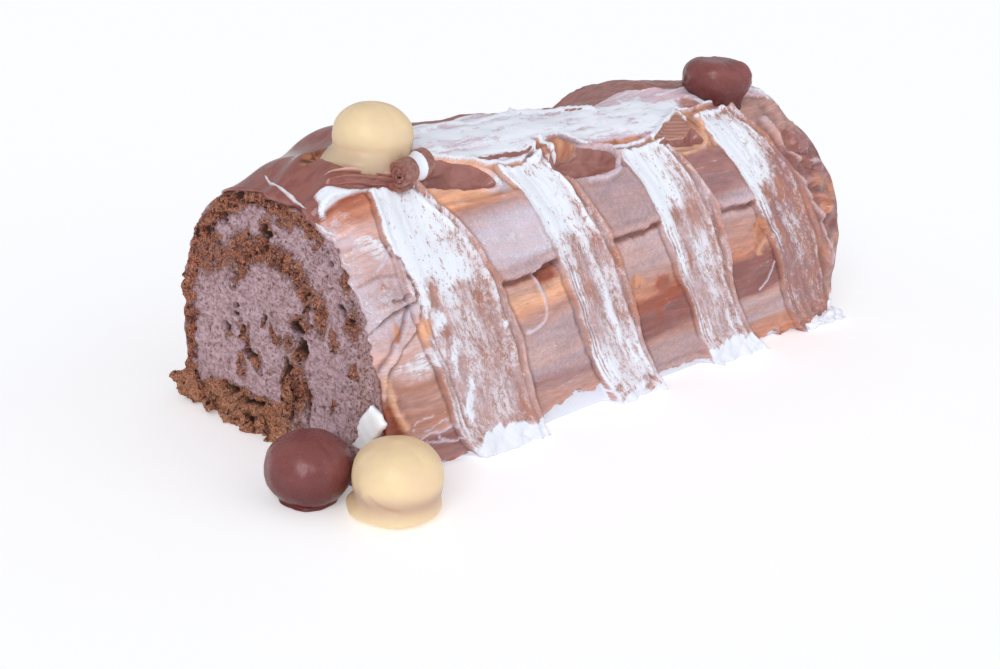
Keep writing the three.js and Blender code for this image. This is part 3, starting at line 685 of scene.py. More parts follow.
    pores = s.step(s.cells(place, 0.8), 0.0, 0.30)
    height = s.total(
        (fine, 0.7), (grain, s.swap(smooth_look, 0.5, 0.08)), (thread, -0.6),
        (pores, s.swap(smooth_look, 0.25, 0.0)), (crisp, 0.35), (s.times(ribbed, waves), 0.22),
    )
    height = s.times(height, s.step(dark, 0.0, 1.0, 1.0, 0.12))
    shine = s.most(gloss, s.most(s.times(amber, 0.85), s.times(dark, 0.7)))
    shine = s.times(shine, s.step(white, 0.0, 1.0, 1.0, 0.2))
    rough = s.step(shine, 0.0, 1.0, 0.6, 0.18)
    return s.finish(colour, rough, s.bump(height, 0.4, 0.6), Subsurface_Weight=LIGHT_IN)


def cut_material(name):
    """A cut face: brown crumb and mauve filling, which the knife drew over each other, with shade painted
    into its pores and holes.
    """
    s = Shader(name)
    place = s.place()
    blush = s.read("blush")
    medium = s.noise(place, 0.5, 5.0, 0.7)
    fine = s.noise(place, 1.7, 4.0, 0.7)
    finest = s.noise(place, 4.0, 3.0, 0.7)
    drawn = s.noise(s.scale(place, (1.0, 0.55, 1.2)), 0.5, 5.0, 0.7, 0.4)
    blur = s.total((s.minus(medium, 0.5), 8.0), (s.minus(fine, 0.5), 8.0))
    brown = s.step(s.add(s.read("crumb"), blur), -0.6, 0.6)

    sponge = s.blend(s.step(medium, 0.40, 0.58), (0.22, 0.048, 0.026), (0.80, 0.275, 0.15))
    sponge = s.blend(s.step(fine, 0.36, 0.47), (0.10, 0.024, 0.018), sponge)
    sponge = s.blend(s.step(fine, 0.53, 0.63), sponge, (0.98, 0.53, 0.40))
    wet = s.blend(s.step(fine, 0.38, 0.56), (0.42, 0.10, 0.045), (1.0, 0.48, 0.26))
    sponge = s.blend(s.times(s.read("moist"), 0.6), sponge, wet)
    # Pores are painted near black, as the shade inside them
    pores = s.step(s.noise(place, 0.42, 4.0, 0.70, 0.6), 0.385, 0.45)
    sponge = s.blend(pores, (0.04, 0.014, 0.012), sponge)
    sponge = s.tinted(sponge, s.step(finest, 0.38, 0.62, 0.75, 1.2))

    mousse = s.blend(s.step(drawn, 0.36, 0.60), (0.47, 0.26, 0.275), (0.74, 0.49, 0.545))
    mousse = s.blend(s.step(fine, 0.55, 0.66), mousse, (0.80, 0.61, 0.68))
    mousse = s.tinted(mousse, s.step(finest, 0.38, 0.62, 0.86, 1.12))
    mousse = s.blend(s.times(blush, s.step(medium, 0.35, 0.6)), mousse, (0.60, 0.34, 0.32))
    torn = s.add(s.noise(place, 1.0, 5.0, 0.75, 0.5), s.times(blush, 0.03))
    bits = s.step(torn, 0.585, 0.615, 0.0, 0.95)
    mousse = s.blend(bits, mousse, s.blend(s.step(fine, 0.4, 0.6), (0.11, 0.035, 0.025), (0.40, 0.15, 0.10)))

    colour = s.blend(brown, mousse, sponge)
    # Holes and pits are painted dark, as the shade inside them
    colour = s.blend(s.step(s.read("hole"), 0.25, 0.8), colour, (0.12, 0.045, 0.03))
    height = s.total(
        (drawn, 0.7), (fine, s.swap(brown, 0.6, 1.3)), (medium, s.swap(brown, 0.3, 1.4)), (bits, -0.3),
    )
    return s.finish(colour, s.swap(brown, 0.55, 0.85), s.bump(height, 1.3), Subsurface_Weight=LIGHT_IN)


def coating_material(name, colour, shade, foot, rough, speckle):
    """A dipped coating: almost smooth, a little uneven in colour, with soft waves, a darker band of painted
    shade and bright specks of painted highlight.
    """
    s = Shader(name)
    place = s.place()
    soft = s.noise(place, 0.12, 3.0, 0.5)
    fine = s.noise(place, 1.2, 4.0, 0.6)
    tint = s.blend(s.step(soft, 0.3, 0.7), shade, colour)
    # Painted shade: the foot colour fills the darker band that the mesh marks
    tint = s.blend(s.times(s.read("low"), 0.9), tint, foot)
    # Bright specks painted on as highlights
    painted_glints = s.step(s.noise(place, 0.55, 5.0, 0.7, 0.4), 0.60, 0.68, 0.0, speckle)
    tint = s.blend(painted_glints, tint, s.tinted(tint, (1.9, 2.1, 2.1)))
    normal = s.bump(s.add(soft, s.times(fine, 0.12)), 0.8, 0.5)
    rough = s.step(fine, 0.3, 0.7, rough - 0.06, rough + 0.08)
    return s.finish(tint, rough, normal, Subsurface_Weight=0.15, Specular_IOR_Level=0.4)


def strip(turn):
    """Outer and inner radius of the sponge at a winding angle in degrees: those of the solids, but torn."""
    left = smooth(*STEP_IN, turn)
    closing = smooth(*CLOSE_IN, turn)
    turned = mix(INNER_RADIUS, CORE_RADIUS, closing)
    outline = section_radius(np.radians(turn), CORE_HALF_WIDTH, CORE_HEIGHT)
    outer = mix(outline, turned, left) + left * 0.8 * wobble(turn, 0, 11, 4)
    lump = SPONGE_LUMP * bell(turn - SPONGE_START, 20)
    thin = 3.2 * bell(turn - 275, 45) + 2.2 * smooth(500, 600, turn)
    thick = SPONGE_THICK + lump - thin + 0.7 * wobble(turn, 0, 13, 6)
    inner = outer - thick
    torn = 0.9 * rough(turn / 4, 0, 0, 5) + 0.5 * noise(turn / 1.3, 3, 0, 8)
    return outer + left * torn, inner + 0.9 * rough(turn / 5, 7, 0, 6) + 0.5 * noise(turn / 1.4, 9, 0, 7)


def sunken(turn, r, end):
    """The same radius on a cut end, where the top has sunk and the turns further in less so."""
    degrees = (turn + 90) % 360 - 90
    outline = section_radius(np.radians(turn), CORE_HALF_WIDTH, CORE_HEIGHT)
    front, back = (0, ROLL_LENGTH) if end == 0 else (ROLL_LENGTH, 0)
    return r - slump(degrees, front, back) * (r / outline) ** 3


def spiral_points(turn, r):
    y = r * np.cos(np.radians(turn))
    z = np.maximum(0, AXIS_HEIGHT + r * np.sin(np.radians(turn)))
    return y, z


# Places on the shown cut face are (y, z). Spots of crumb lie on the filling, each with its half sizes, areas
# of crumb have a strength, and holes are torn into both, each with its half sizes and its depth.
CRUMB_SPOTS = (
    (3, 71, 2.4, 3.4), (12, 67, 1.6, 1.4), (24, 31, 1.9, 2.3), (13, 34, 0.9, 2.8), (4, 40, 1.5, 2.1),
    (17, 21, 1.6, 4), (-30, 43, 2.2, 3), (-39, 51, 3.2, 4.5), (-6, 75, 4, 2.5), (-37, 66, 2.6, 5.5),
    (-11, 22, 5.5, 8.5), (-24, 50, 2.6, 6), (-40, 36, 2.2, 2.4), (31, 60, 4, 4), (-8, 36, 2.4, 2.4),
    (-13.6, 43.4, 4, 2.6), (-12.6, 33.6, 2.6, 3),
)
CRUMB_AREAS = (
    (((42, 8), (34, 12), (22, 14), (8, 13), (-3, 16), (-6, 8), (2, -3), (19, -3), (44, -3)), 1.2),
    (((-4, 28), (-16, 31), (-18, 20), (-9, 11), (-3, 14)), 1.2),
    (((24, 62), (31, 62), (40, 60), (42, 50), (34, 49), (27, 53), (20, 53)), 0.45),
    (((24, 63), (12, 68), (-3, 67), (-16, 63), (-24, 53), (-18, 53), (-6, 59), (8, 59), (22, 52)), 0.7),
)
HOLES = (
    (-12, 42, 3.1, 1.9, 5), (-14.5, 35.6, 2.4, 3, 6), (13, 27, 3.4, 1, 3), (25, 11, 4.5, 1.5, 5),
    (12, 10.5, 6, 1.2, 4), (-17, 18, 1.3, 6.5, 6), (25, 70, 2.2, 2.2, 4), (35, 62, 1.8, 2.2, 3),
    (-33, 54, 2.4, 1.3, 3), (3, 69, 1.6, 2.4, 2), (4, 41, 1.4, 2, 2.5), (25, 32, 1.8, 2.4, 2.5),
    (-38, 52, 2.6, 1.2, 2.5), (-7, 28, 1.4, 1.8, 3),
)


class CutFace:
    """One cut end: how the crumb and the filling lie there, by y, z and the depth inside the sponge."""

    def __init__(self, y, z, depth, end):
        self.y, self.z, self.end = y, z, end
        self.seed = 20 + 60 * end
        ragged = 1.3 * rough(y / 4.5, z / 4.5, 0, self.seed, 4)
        ragged = ragged + 0.7 * noise(y / 1.3, z / 1.3, 0, self.seed + 9)
        self.crumb = np.clip(depth, -4, 3) / 0.9 + ragged
        self.blush = np.zeros(y.shape)
        self.moist = fall(8, 17, z)
        pitted = smooth(0.55, 0.95, rough(y / 3.2, z / 3.2, 7, self.seed + 5))
        self.hole = 0.8 * pitted * smooth(0.0, 1.0, depth)
        self.deep = 0 * y
        if end == 0:
            self.shown_end()

    def shown_end(self):
        y, z = self.y, self.z
        wy = y + 0.9 * rough(y / 3, z / 3, 0, 91)
        wz = z + 0.9 * rough(y / 3, z / 3, 4, 92)
        # Where the knife drew filling over the crumb
        smears = (
            fall(-32, -25, y - 0.12 * (z - 40)) * fall(72, 82, z),
            0.55 * bell(y + 30, 8) * bell(z - 77, 6),
            0.9 * bell(y - 22, 9) * bell(z - 40, 16),
            0.8 * bell(y + 15, 8) * fall(44, 52, z),
            0.95 * bell(y + 24, 8) * fall(50, 60, z),
            0.7 * bell(np.hypot(y, z - AXIS_HEIGHT) - 19, 9) * fall(20, 30, z),
        )
        self.crumb -= 5.2 * np.max(smears, 0)
        for outline, strength in CRUMB_AREAS:
            inside = region_depth(outline, wy, wz)
            self.crumb = np.maximum(self.crumb, strength * np.clip(inside, -3, 2))
        self.blush = fall(-46, -32, y) * fall(60, 75, z)
        for y0, z0, half_y, half_z in CRUMB_SPOTS:
            off = np.hypot((wy - y0) / half_y, (wz - z0) / half_z)
            self.crumb = np.maximum(self.crumb, 2.2 * (1.1 - off))
        for y0, z0, half_y, half_z, deep in HOLES:
            off = np.hypot((wy - y0) / half_y, (wz - z0) / half_z)
            self.deep = np.maximum(self.deep, deep * fall(0.5, 1.2, off))
            self.hole = np.maximum(self.hole, fall(0.7, 1.45, off))

    def out(self):
        """How far each place stands out from a flat end."""
        y, z = self.y, self.z
        coarse = wobble(y, z, 3.1, 1 + self.end) + 1.3 * rough(y / 2.4, z / 2.4, 0, self.seed + 2, 4)
        soft = 0.7 * rough(y / 8, z / 8, 0, self.seed + 3, 4)
        soft = soft + 0.3 * rough(y / 3.5, z / 1.6, 0, self.seed + 4)
        stands = mix(soft, coarse + 0.5, smooth(-1.0, 1.2, self.crumb)) - 2.2 * self.hole - self.deep - 0.2
        if self.end == 0:
            stands = stands + 3.5 * bell(y + 38, 13) * bell(z - 6, 11)
            stands = stands + 1.5 * bell(y - 16, 18) * fall(9, 13, z)
        return stands


def ring_solid(name, turns, inner, outer, across, in_sponge, material):
    """A closed strip wound round the axis, with relief on its two cut ends."""
    shares = np.linspace(0, 1, across)
    r = mix(inner[:, None], outer[:, None], shares[None, :])
    depth = np.minimum(r - inner[:, None], outer[:, None] - r) * (1 if in_sponge else -1)
    ends = []
    for end in (0, 1):
        y, z = spiral_points(turns[:, None], sunken(turns[:, None], r, end))
        ends.append(CutFace(y, z, depth, end))
    sides = (-ROLL_LENGTH / 2 - ends[0].out(), ROLL_LENGTH / 2 + ends[1].out())
    points = np.concatenate([np.stack([x, f.y, f.z], -1).reshape(-1, 3) for x, f in zip(sides, ends)])
    made = object_of(name, points, slab(len(turns), across), material, smooth_angle=60)
    for key in ("crumb", "hole", "blush", "moist"):
        attribute(made, key, np.concatenate([getattr(face, key).ravel() for face in ends]))
    return made


def make_sponge():
    turns = np.arange(SPONGE_START, SPONGE_END + 0.4, 0.75)
    outer, inner = strip(turns)
    crumb = cut_material("sponge")
    made = ring_solid("sponge_strip", turns, inner, outer, across=18, in_sponge=True, material=crumb)
    dress(made, "sponge", "sponge")


def make_mousse():
    """The filling is itself a wide strip that winds in between the turns of the sponge to the middle."""
    turns = np.arange(STEP_IN[0] + 2, SPONGE_END + 360, 0.9)
    own_outer, _ = strip(np.clip(turns, SPONGE_START, SPONGE_END))
    _, outside_inner = strip(np.clip(turns - 360, SPONGE_START, SPONGE_END))
    outline = section_radius(np.radians(turns), CORE_HALF_WIDTH, CORE_HEIGHT)
    outer = np.where(turns < SPONGE_START + 360, outline, outside_inner)
    inner = np.where(turns <= SPONGE_END, own_outer, np.maximum(0.05, CORE_RADIUS - (turns - SPONGE_END) * 2))
    outer = np.maximum(outer, inner + 0.05)
    cream = cut_material("mousse")
    made = ring_solid("mousse_filling", turns, inner, outer, across=36, in_sponge=False, material=cream)
    dress(made, "mousse", "mousse")


class Icing:
    """The surface of the coat at places (x, arc): its relief and its colours.

    "dark" and "amber" say how deep a place lies inside smooth dark chocolate or orange-brown chocolate, in
    millimetres, so that the material can draw their outlines sharply. "cover" is the share of white."""

    def __init__(self, x, arc, edges):
        self.x, self.arc = x, arc
        self.up = np.minimum(arc, COAT_ARC - arc)
        self.near = arc < COAT_ARC / 2
        self.edges = edges
        # The same places, drawn about a little, so that outlines come out uneven
        self.wx = x + 0.6 * rough(x / 5, arc / 5, 0, 71)
        self.warc = arc + 0.6 * rough(x / 5, arc / 5, 5, 73)
        self.find_strokes()
        self.height = 0.35 * wobble(x, arc, 9, 3)
        self.colour = np.zeros((*x.shape, 3))
        self.gloss = np.zeros(x.shape)
        self.cover = np.zeros(x.shape)
        self.dark = np.full(x.shape, -FAR_OFF)
        self.amber = np.full(x.shape, -FAR_OFF)
        self.deep = np.zeros(x.shape)
        self.rim = fall(0.5, 8, x - coat_front(arc)) * smooth(40, 52, arc) * fall(88, 94, arc)

    def find_strokes(self):
        lefts = np.array([left + 0 * self.x for left, _ in self.edges])
        rights = np.array([right + 0 * self.x for _, right in self.edges])
        middles = (lefts + rights) / 2
        self.which = np.abs(self.x - middles).argmin(0)
        self.left = np.take_along_axis(lefts, self.which[None], 0)[0]
        self.right = np.take_along_axis(rights, self.which[None], 0)[0]
        self.share = (self.x - self.left) / (self.right - self.left)
        self.beyond = np.maximum(self.left - self.x, self.x - self.right)
        self.band = (self.x > middles).sum(0)
        self.past_tip = self.up - self.tip() - 0.9 * rough(self.x / 3, 0, 4, 38)
        self.in_stroke = fall(-0.4, 0.4, self.beyond) * fall(-0.5, 0.5, self.past_tip)

    def tip(self):
        """The arc where the strokes start, just under the swipe along the top."""
        lip = path_value(self.x, SWIPE_LIP) - 1.2
        near = np.choose(self.which, [FIRST_TIP + 0 * lip, lip, lip, LAST_TIP + 0 * lip])
        return np.where(self.near, near, STROKE_TOP + 3 * wobble(self.x, 0, 6, 6))

    def of_stroke(self, key):
        return np.array([stroke[key] for stroke in STROKES])[self.which]

    def paint(self, share, tint, cover=-0.3, gloss=None):
        share = np.clip(share, 0, 1)
        *colour, shine = TINTS[tint]
        self.colour = mix(self.colour, np.array(colour), share[..., None])
        self.gloss = mix(self.gloss, shine if gloss is None else gloss, share)
        self.cover = mix(self.cover, cover, share)

    def whiten(self, depth):
        """Covers places with white where depth is more than 0, and takes dark chocolate away there."""
        self.cover = np.maximum(self.cover, np.clip(0.5 + 0.55 * depth, -0.5, THICK_WHITE))
        self.dark = np.minimum(self.dark, -depth)
        self.gloss = np.where(depth > 0, 0.1, self.gloss)

    def bands(self):
        """The chocolate between the strokes, in streaks along the roll, with a raised pad near the top and a
        painted shadow line under the pad's lower lip.
        """
        x, up = self.x, self.up
        number = np.where(self.near, self.band, (self.band + FAR_SHIFT) % len(BANDS))
        level = up + 1.8 * noise(x / 30, up / 6, 0, 51) + 0.8 * noise(x / 14, up / 1.8, 0, 52)
        between = 1 - self.in_stroke
        middle = np.where(self.share > 0.5, x - self.right - FIELD_MIDDLE, x - self.left + FIELD_MIDDLE)
        hem_high = np.zeros(x.shape)
        for k, (tilt, hem, stops) in enumerate(BANDS):
            here = number == k
            arcs, tints = zip(*(stop.split() for stop in stops.split(", ")))
            table = np.array([TINTS[tint] for tint in tints]).T
            tilted = level - tilt * middle
            *colour, gloss = (np.interp(tilted, np.array(arcs, float), column) for column in table)
            self.colour = np.where(here[..., None], np.stack(colour, -1), self.colour)
            self.gloss = np.where(here, gloss, self.gloss)
            hem_high = np.where(here, hem, hem_high)
        paleness = self.colour.mean(-1)
        self.cover = -0.1 + 0.55 * smooth(0.46, 0.68, paleness) + 0.16 * noise(x / 20, up / 3, 0, 53)
        lip = path_value(x, PAD_LIPS) + 0.8 * rough(x / 5, 0, 3, 58)
        lip = np.where(self.near, lip, FAR_PAD_LIP + 2 * wobble(x, 0, 12, 4))
        padded = np.where(self.near, np.array(PADDED)[self.band], 1)
        pad = smooth(lip - 0.4, lip + 0.5, up) * fall(PAD_HIGH - 1, PAD_HIGH + 0.5, up)
        thick = PAD_RISE * pad + 0.8 * bell(up - lip - 1.5, 1.4) - 1.1 * bell(up - lip + 1.1, 1.0)
        streaks = 0.30 * noise(x / 30, up / 2.6, 0, 34) + 0.14 * noise(x / 16, up / 1.1, 0, 35)
        streaks = streaks * (1 - 0.7 * pad) + 0.25 * rough(x / 7, up / 5, 0, 46) + 0.5 * wobble(x, up, 15, 8)
        streaks = streaks + 2.6 * rough(x / 8, up / 8, 0, 75) * smooth(92, 106, x) * self.near
        hem_high = hem_high + 4 * smooth(108, 114, x) * self.near
        hem = up - hem_high + 2.4 * rough(x / 6, 0, 0, 39)
        self.height += between * (padded * thick + streaks - 2.2 * fall(-0.4, 0.4, hem))
        self.height += between * 0.7 * bell(hem - 0.9, 0.8)
        self.paint(0.5 * bell(up - lip - 1.2, 1.0) * padded, "taupe")
        # A russet line under the pad's lower lip is painted shadow
        self.paint(0.75 * bell(up - lip + 1.0, 1.0) * padded, "russet")
        self.whiten(np.where(self.in_stroke < 0.5, -hem, -FAR_OFF))

    def knife_strokes(self):
        """Broad white strokes pulled down the sides, whole at the top and scraped thin lower down."""
        x, up, share = self.x, self.up, self.share
        from_left, from_right = x - self.left, self.right - x

        def varied(scale, place, seed, least=0, most=1):
            """A soft uneven number down each stroke."""
            return least + most * noise(up / scale, self.which * place, 0, seed)

        def over(width, length, place, seed):
            """Noise across and down each stroke."""
            return noise(from_left / width, up / length, place, seed)

        drag = 0.34 * over(3.2, 45, self.which, 32) + 0.22 * over(1.2, 20, 0, 33)
        belly = -0.9 * bell(share - 0.5, 0.32)
        right_ridge = varied(12, 7.0, 36, 1.6, 0.9) * bell(from_right - 0.5, 1.1)
        second_ridge = varied(9, 3.0, 47, 0.8, 0.5) * bell(from_right - varied(22, 5.0, 41, 4.2, 1.5), 0.8)
        left_ridge = varied(10, 9.0, 37, 0.5, 0.4) * bell(from_left - 0.9, 0.8)
        groove = -varied(9, 4.0, 48, 0.6, 0.5) * bell(self.beyond - 0.9, 0.6)
        side = fall(-0.6, 0.8, self.past_tip)
        lip = 1.2 * fall(-0.5, 0.5, self.beyond) * bell(self.past_tip + 0.8, 1.2)
        self.height += self.in_stroke * (0.9 + drag + belly) + lip
        self.height += side * (right_ridge + second_ridge * self.in_stroke + left_ridge + groove)
        seams = (from_left > 0) * bell(from_left - 3, 2.5) * fall(50, 66, up) * smooth(8, 16, up)
        seams = seams * smooth(0.0, 0.7, np.sin(3.6 * from_left + 1.5 * varied(14, 5.0, 49)))
        self.height -= 0.35 * seams
        self.height += FOOT_FLARE * fall(-2, 4, self.beyond) * np.maximum(0, 1 - up / 20) ** 2
        self.height += 1.1 * rough(x / 4, up / 4, 0, 77) * self.in_stroke * fall(3, 11, up)

        dense_to = mix(*np.moveaxis(self.of_stroke("dense"), -1, 0), np.clip(share, 0, 1))
        dense = smooth(-8, 7, up - dense_to + 6 * rough(from_left / 5, up / 9, 2, 61))
        whole = 1.0 - self.of_stroke("fleck") * smooth(0.25, 0.95, share) + 0.15 * over(4, 8, 6, 66)
        scraped = mix(self.of_stroke("low"), self.of_stroke("mid"), smooth(18, 45, up))
        scraped = scraped + 0.30 * over(5, 16, 3, 62)
        scraped = scraped + 0.35 * bell(from_left - 3, 2.0) * smooth(10, 30, up)
        cover = mix(scraped, whole, dense)
        foot = self.of_stroke("foot") - up + 3.0 * rough(x / 5, 0, 8, 63)
        cover = np.maximum(cover, np.clip(0.5 + 0.3 * foot, 0, THICK_WHITE))
        edge_brown = 0.45 * bell(from_right - 0.8, 1.5) * varied(5, 6.0, 67, 0.8, 0.6)
        cover = cover - edge_brown * smooth(0, 10, up) - 0.15 * bell(from_left, 0.6)
        warm = np.clip(0.45 + 0.7 * over(2.5, 9, 4, 64) + 0.4 * dense, 0, 1)
        tone = np.array([TINTS[stroke["tone"]][:3] for stroke in STROKES])[self.which]
        tint = mix(tone, np.array(TINTS["rust"][:3]), warm[..., None])
        self.colour = mix(self.colour, tint, self.in_stroke[..., None])
        self.gloss = mix(self.gloss, 0.25, self.in_stroke)
        self.cover = mix(self.cover, cover, self.in_stroke)
        ridge = side * bell(self.beyond - 0.3, 0.8) * (share > 0.5) * smooth(4, 12, up)
        self.paint(0.7 * ridge, "rust")
        self.paint(0.6 * seams, "plum", cover=0.1)

    def top_swipe(self):
        """One long pale swipe over the top, with a rolled lip, and darker chocolate past it."""
        x, arc = self.x, self.arc
        past = arc - path_value(x, SWIPE_LIP) - 0.5 * rough(x / 3, 0, 6, 42)
        far_lip = COAT_ARC - STROKE_TOP - 7 + 2 * wobble(x, 0, 13, 2)
        on_top = smooth(-0.3, 0.4, past) * fall(-0.5, 0.5, arc - far_lip)
        streaks = 0.22 * noise(x / 34, arc / 3.2, 0, 43) + 0.12 * noise(x / 16, arc / 1.3, 0, 44)
        self.height += 1.3 * bell(past - 0.7, 0.9) + 0.9 * bell(arc - far_lip, 1.3)
        self.height += on_top * (streaks + 0.4)
        self.paint(on_top, "petal", cover=0.0, gloss=0.4)
        cover = 0.84 + 0.26 * noise(x / 30, arc / 4, 0, 54)
        cover = cover + 0.35 * smooth(5, 30, x) * fall(107, 113, arc)
        rougher = smooth(112, 116, arc + 0.15 * (x - 20)) * smooth(4, 10, x)
        mottled = 0.25 * rough(x / 6, arc / 2.5, 0, 55)
        self.cover = mix(self.cover, mix(cover, 0.5 + mottled, rougher), on_top)
        self.whiten(0.9 - np.abs(past - 0.7) - 3 * ((x < -82) | (x > 28)))
        crest = path_value(x, FAR_CREST, 2)
        self.height += crest * bell(arc - FAR_CREST_ARC - 2 * wobble(x, 0, 20, 3), 20)
        self.dark = np.maximum(self.dark, self.inside(FAR_DARK))

    def inside(self, outline):
        return region_depth(outline, self.wx, self.warc)

    def pockets(self):
        for rim_from, outline in POCKETS:
            depth = self.inside(outline)
            self.height -= 3.2 * smooth(-0.3, 3.6, depth)
            if rim_from is not None:
                rim = smooth(rim_from, rim_from + 4, self.wx) * fall(91, 97, self.warc)
                self.height += 1.2 * bell(depth + 1.2, 0.9) * rim
                self.paint(0.85 * bell(depth + 1.0, 1.0) * rim, "lilac", cover=0.0)
            self.dark = np.maximum(self.dark, depth)
        self.ribbed = self.inside(FOLDS)
        self.height += 0.8 * smooth(-0.5, 0.8, self.ribbed)
        self.paint(smooth(-0.5, 0.5, self.ribbed), "rust", cover=0.0)

    def away_from(self, path):
        """How far each place is from a line with its corners cut, and on which side."""
        path = rounded(path)
        close = (np.abs(self.x - path[0][0]) < 70) & (np.abs(self.arc - path[0][1]) < 60)
        away, side = path_distance(path, self.wx, self.warc)
        return np.where(close, away, FAR_OFF), side

    def overlaps(self):
        """Icing folded over itself: it stands up on the left of a line, with a painted shadow in the crease.
        """
        for tint, rise, width, path in OVERLAPS:
            away, side = self.away_from(path)
            above = side > 0
            over = smooth(-0.4, 0.4, np.where(above, away, -away))
            self.height += rise * over * np.exp(-np.where(above, away, 0) / width / 1.6)
            self.height -= 0.7 * (1 - over) * bell(away - 0.5, 0.8)
            # Plum painted in the crease, as the shadow of the fold
            self.paint(0.6 * (1 - over) * bell(away - 0.4, 0.7), "plum")
            self.paint(0.7 * over * bell(away - 0.6, 0.9), tint, cover=0.2)
            self.dark = np.where(above, np.minimum(self.dark, away - 1.6), self.dark)

    def ridges(self):
        for tint, rise, width, path in RIDGES:
            away, _ = self.away_from(path)
            self.height += rise * bell(away, width)
            if tint == "white":
                self.whiten(0.85 * width - away)
            else:
                self.paint(1.5 * bell(away, width) - 0.2, tint, cover=0.1)

    def dabs(self):
        uneven = 0.2 * rough(self.x / 2, self.arc / 2, 0, 65)
        for tint, x, arc, half_x, half_arc, rise, *share in DABS:
            off = np.hypot((self.wx - x) / half_x, (self.warc - arc) / half_arc) + uneven
            self.height += rise * fall(0.2, 1.3, off)
            depth = (1 - off) * min(half_x, half_arc)
            if tint == "white":
                self.cover = np.maximum(self.cover, np.clip(0.42 + 0.24 * depth, -0.5, 0.85))
            elif tint == "cocoa":
                self.dark = np.maximum(self.dark, depth)
            elif tint == "amber":
                sharp = share[0] if share else 1
                self.amber = np.maximum(self.amber, sharp * depth)
                self.dark = np.minimum(self.dark, sharp * (-depth - 0.3))
                self.cover = np.where(depth > -0.5, np.minimum(self.cover, 0.0), self.cover)
            else:
                self.paint(fall(0.45, 1.15, off), tint, cover=share[0] if share else -0.2)

    def drape(self):
        """Smooth dark chocolate that runs over the shown end, under the bonbon and into the curl."""
        x, arc = self.x, self.arc
        depth = self.inside(DRAPE)
        share = smooth(-0.5, 0.5, depth)
        rise = mix(2.4, 0.6, smooth(112, 132, arc)) * smooth(-0.4, 2.6, depth) + 0.35 * wobble(x, arc, 14, 6)
        rise = rise + path_value(x, DRAPE_CREST, 2) * bell(arc - CREST_ARC, 20)
        rise = rise - 2.4 * bell(np.hypot(x - DRAPE_DIP[0], arc - DRAPE_DIP[1]), 7)
        self.height = mix(self.height, rise, share)
        self.paint(share, "cocoa", gloss=0.8)
        self.deep = share
        self.cover = mix(self.cover, -0.5, share)
        self.dark = np.where(depth > -3, np.maximum(self.dark, depth), self.dark)
        hollow = np.hypot((self.wx - DRAPE_HOLLOW[0]) / 5.5, (self.warc - DRAPE_HOLLOW[1]) / 4.5)
        self.height -= 3.0 * fall(0.2, 1.2, hollow) * share
        self.amber = np.maximum(self.amber, 1.4 * (1 - hollow))
        self.dark = np.minimum(self.dark, np.where(hollow < 1.5, 1.4 * (hollow - 1), FAR_OFF))
        patch = self.inside(WHITE_PATCH)
        self.height += 0.6 * smooth(-0.6, 0.8, patch)
        self.whiten(patch + 0.2)

    def shade_hollows(self):
        """Paints shade into hollows, darkening their colour, and paints light onto ridges, making them paler.
        Hollows also get less white, and ridges more.
        """
        mean = self.height
        for axis, count in enumerate(SHADE_HOLLOWS_OVER):
            pad = [(0, 0), (0, 0)]
            pad[axis] = (count // 2 + 1, count // 2)
            sums = np.cumsum(np.pad(mean, pad, mode="edge"), axis)
            size = mean.shape[axis]
            mean = (sums.take(range(count, count + size), axis) - sums.take(range(size), axis)) / count
        hollow = np.clip((mean - self.height) / 0.7, -1, 1)
        # Painted shade darkens the colour in hollows, and painted light makes it paler on ridges
        self.colour = self.colour * (1 - np.where(hollow > 0, 0.38, 0.14) * hollow)[..., None]
        self.cover = self.cover - 0.20 * hollow * (self.cover < THICK_WHITE - 0.1)

    def build(self):
        self.bands()
        self.knife_strokes()
        self.top_swipe()
        self.pockets()
        self.dabs()
        self.overlaps()
        self.ridges()
        self.shade_hollows()
        self.drape()
        return self


def coat_inside(x, arc):
    """The angle and the radius of the coat's inside."""
    angle = coat_angle(arc)
    sunk = slump(np.degrees(angle), x - coat_front(arc), coat_back(arc) - x)
    return angle, section_radius(angle, CORE_HALF_WIDTH, CORE_HEIGHT) + COAT_GAP - sunk


def coat_places(line, arcs):
    """Places on the inside of the coat, at one x for each arc."""
    angle, r = coat_inside(line, arcs)
    return np.stack([line, r * np.cos(angle), np.maximum(0, AXIS_HEIGHT + r * np.sin(angle))], -1)


# Points on the coat: how many rows lie from one arc to another, closest on the shown side, and how many
# columns lie between its ends and the edges of the strokes
ROWS = ((0, 108, 190), (108, 168, 66), (168, COAT_ARC, 38))
COLUMNS = (32, 37, 38, 37, 38, 37, 38, 37, 36)


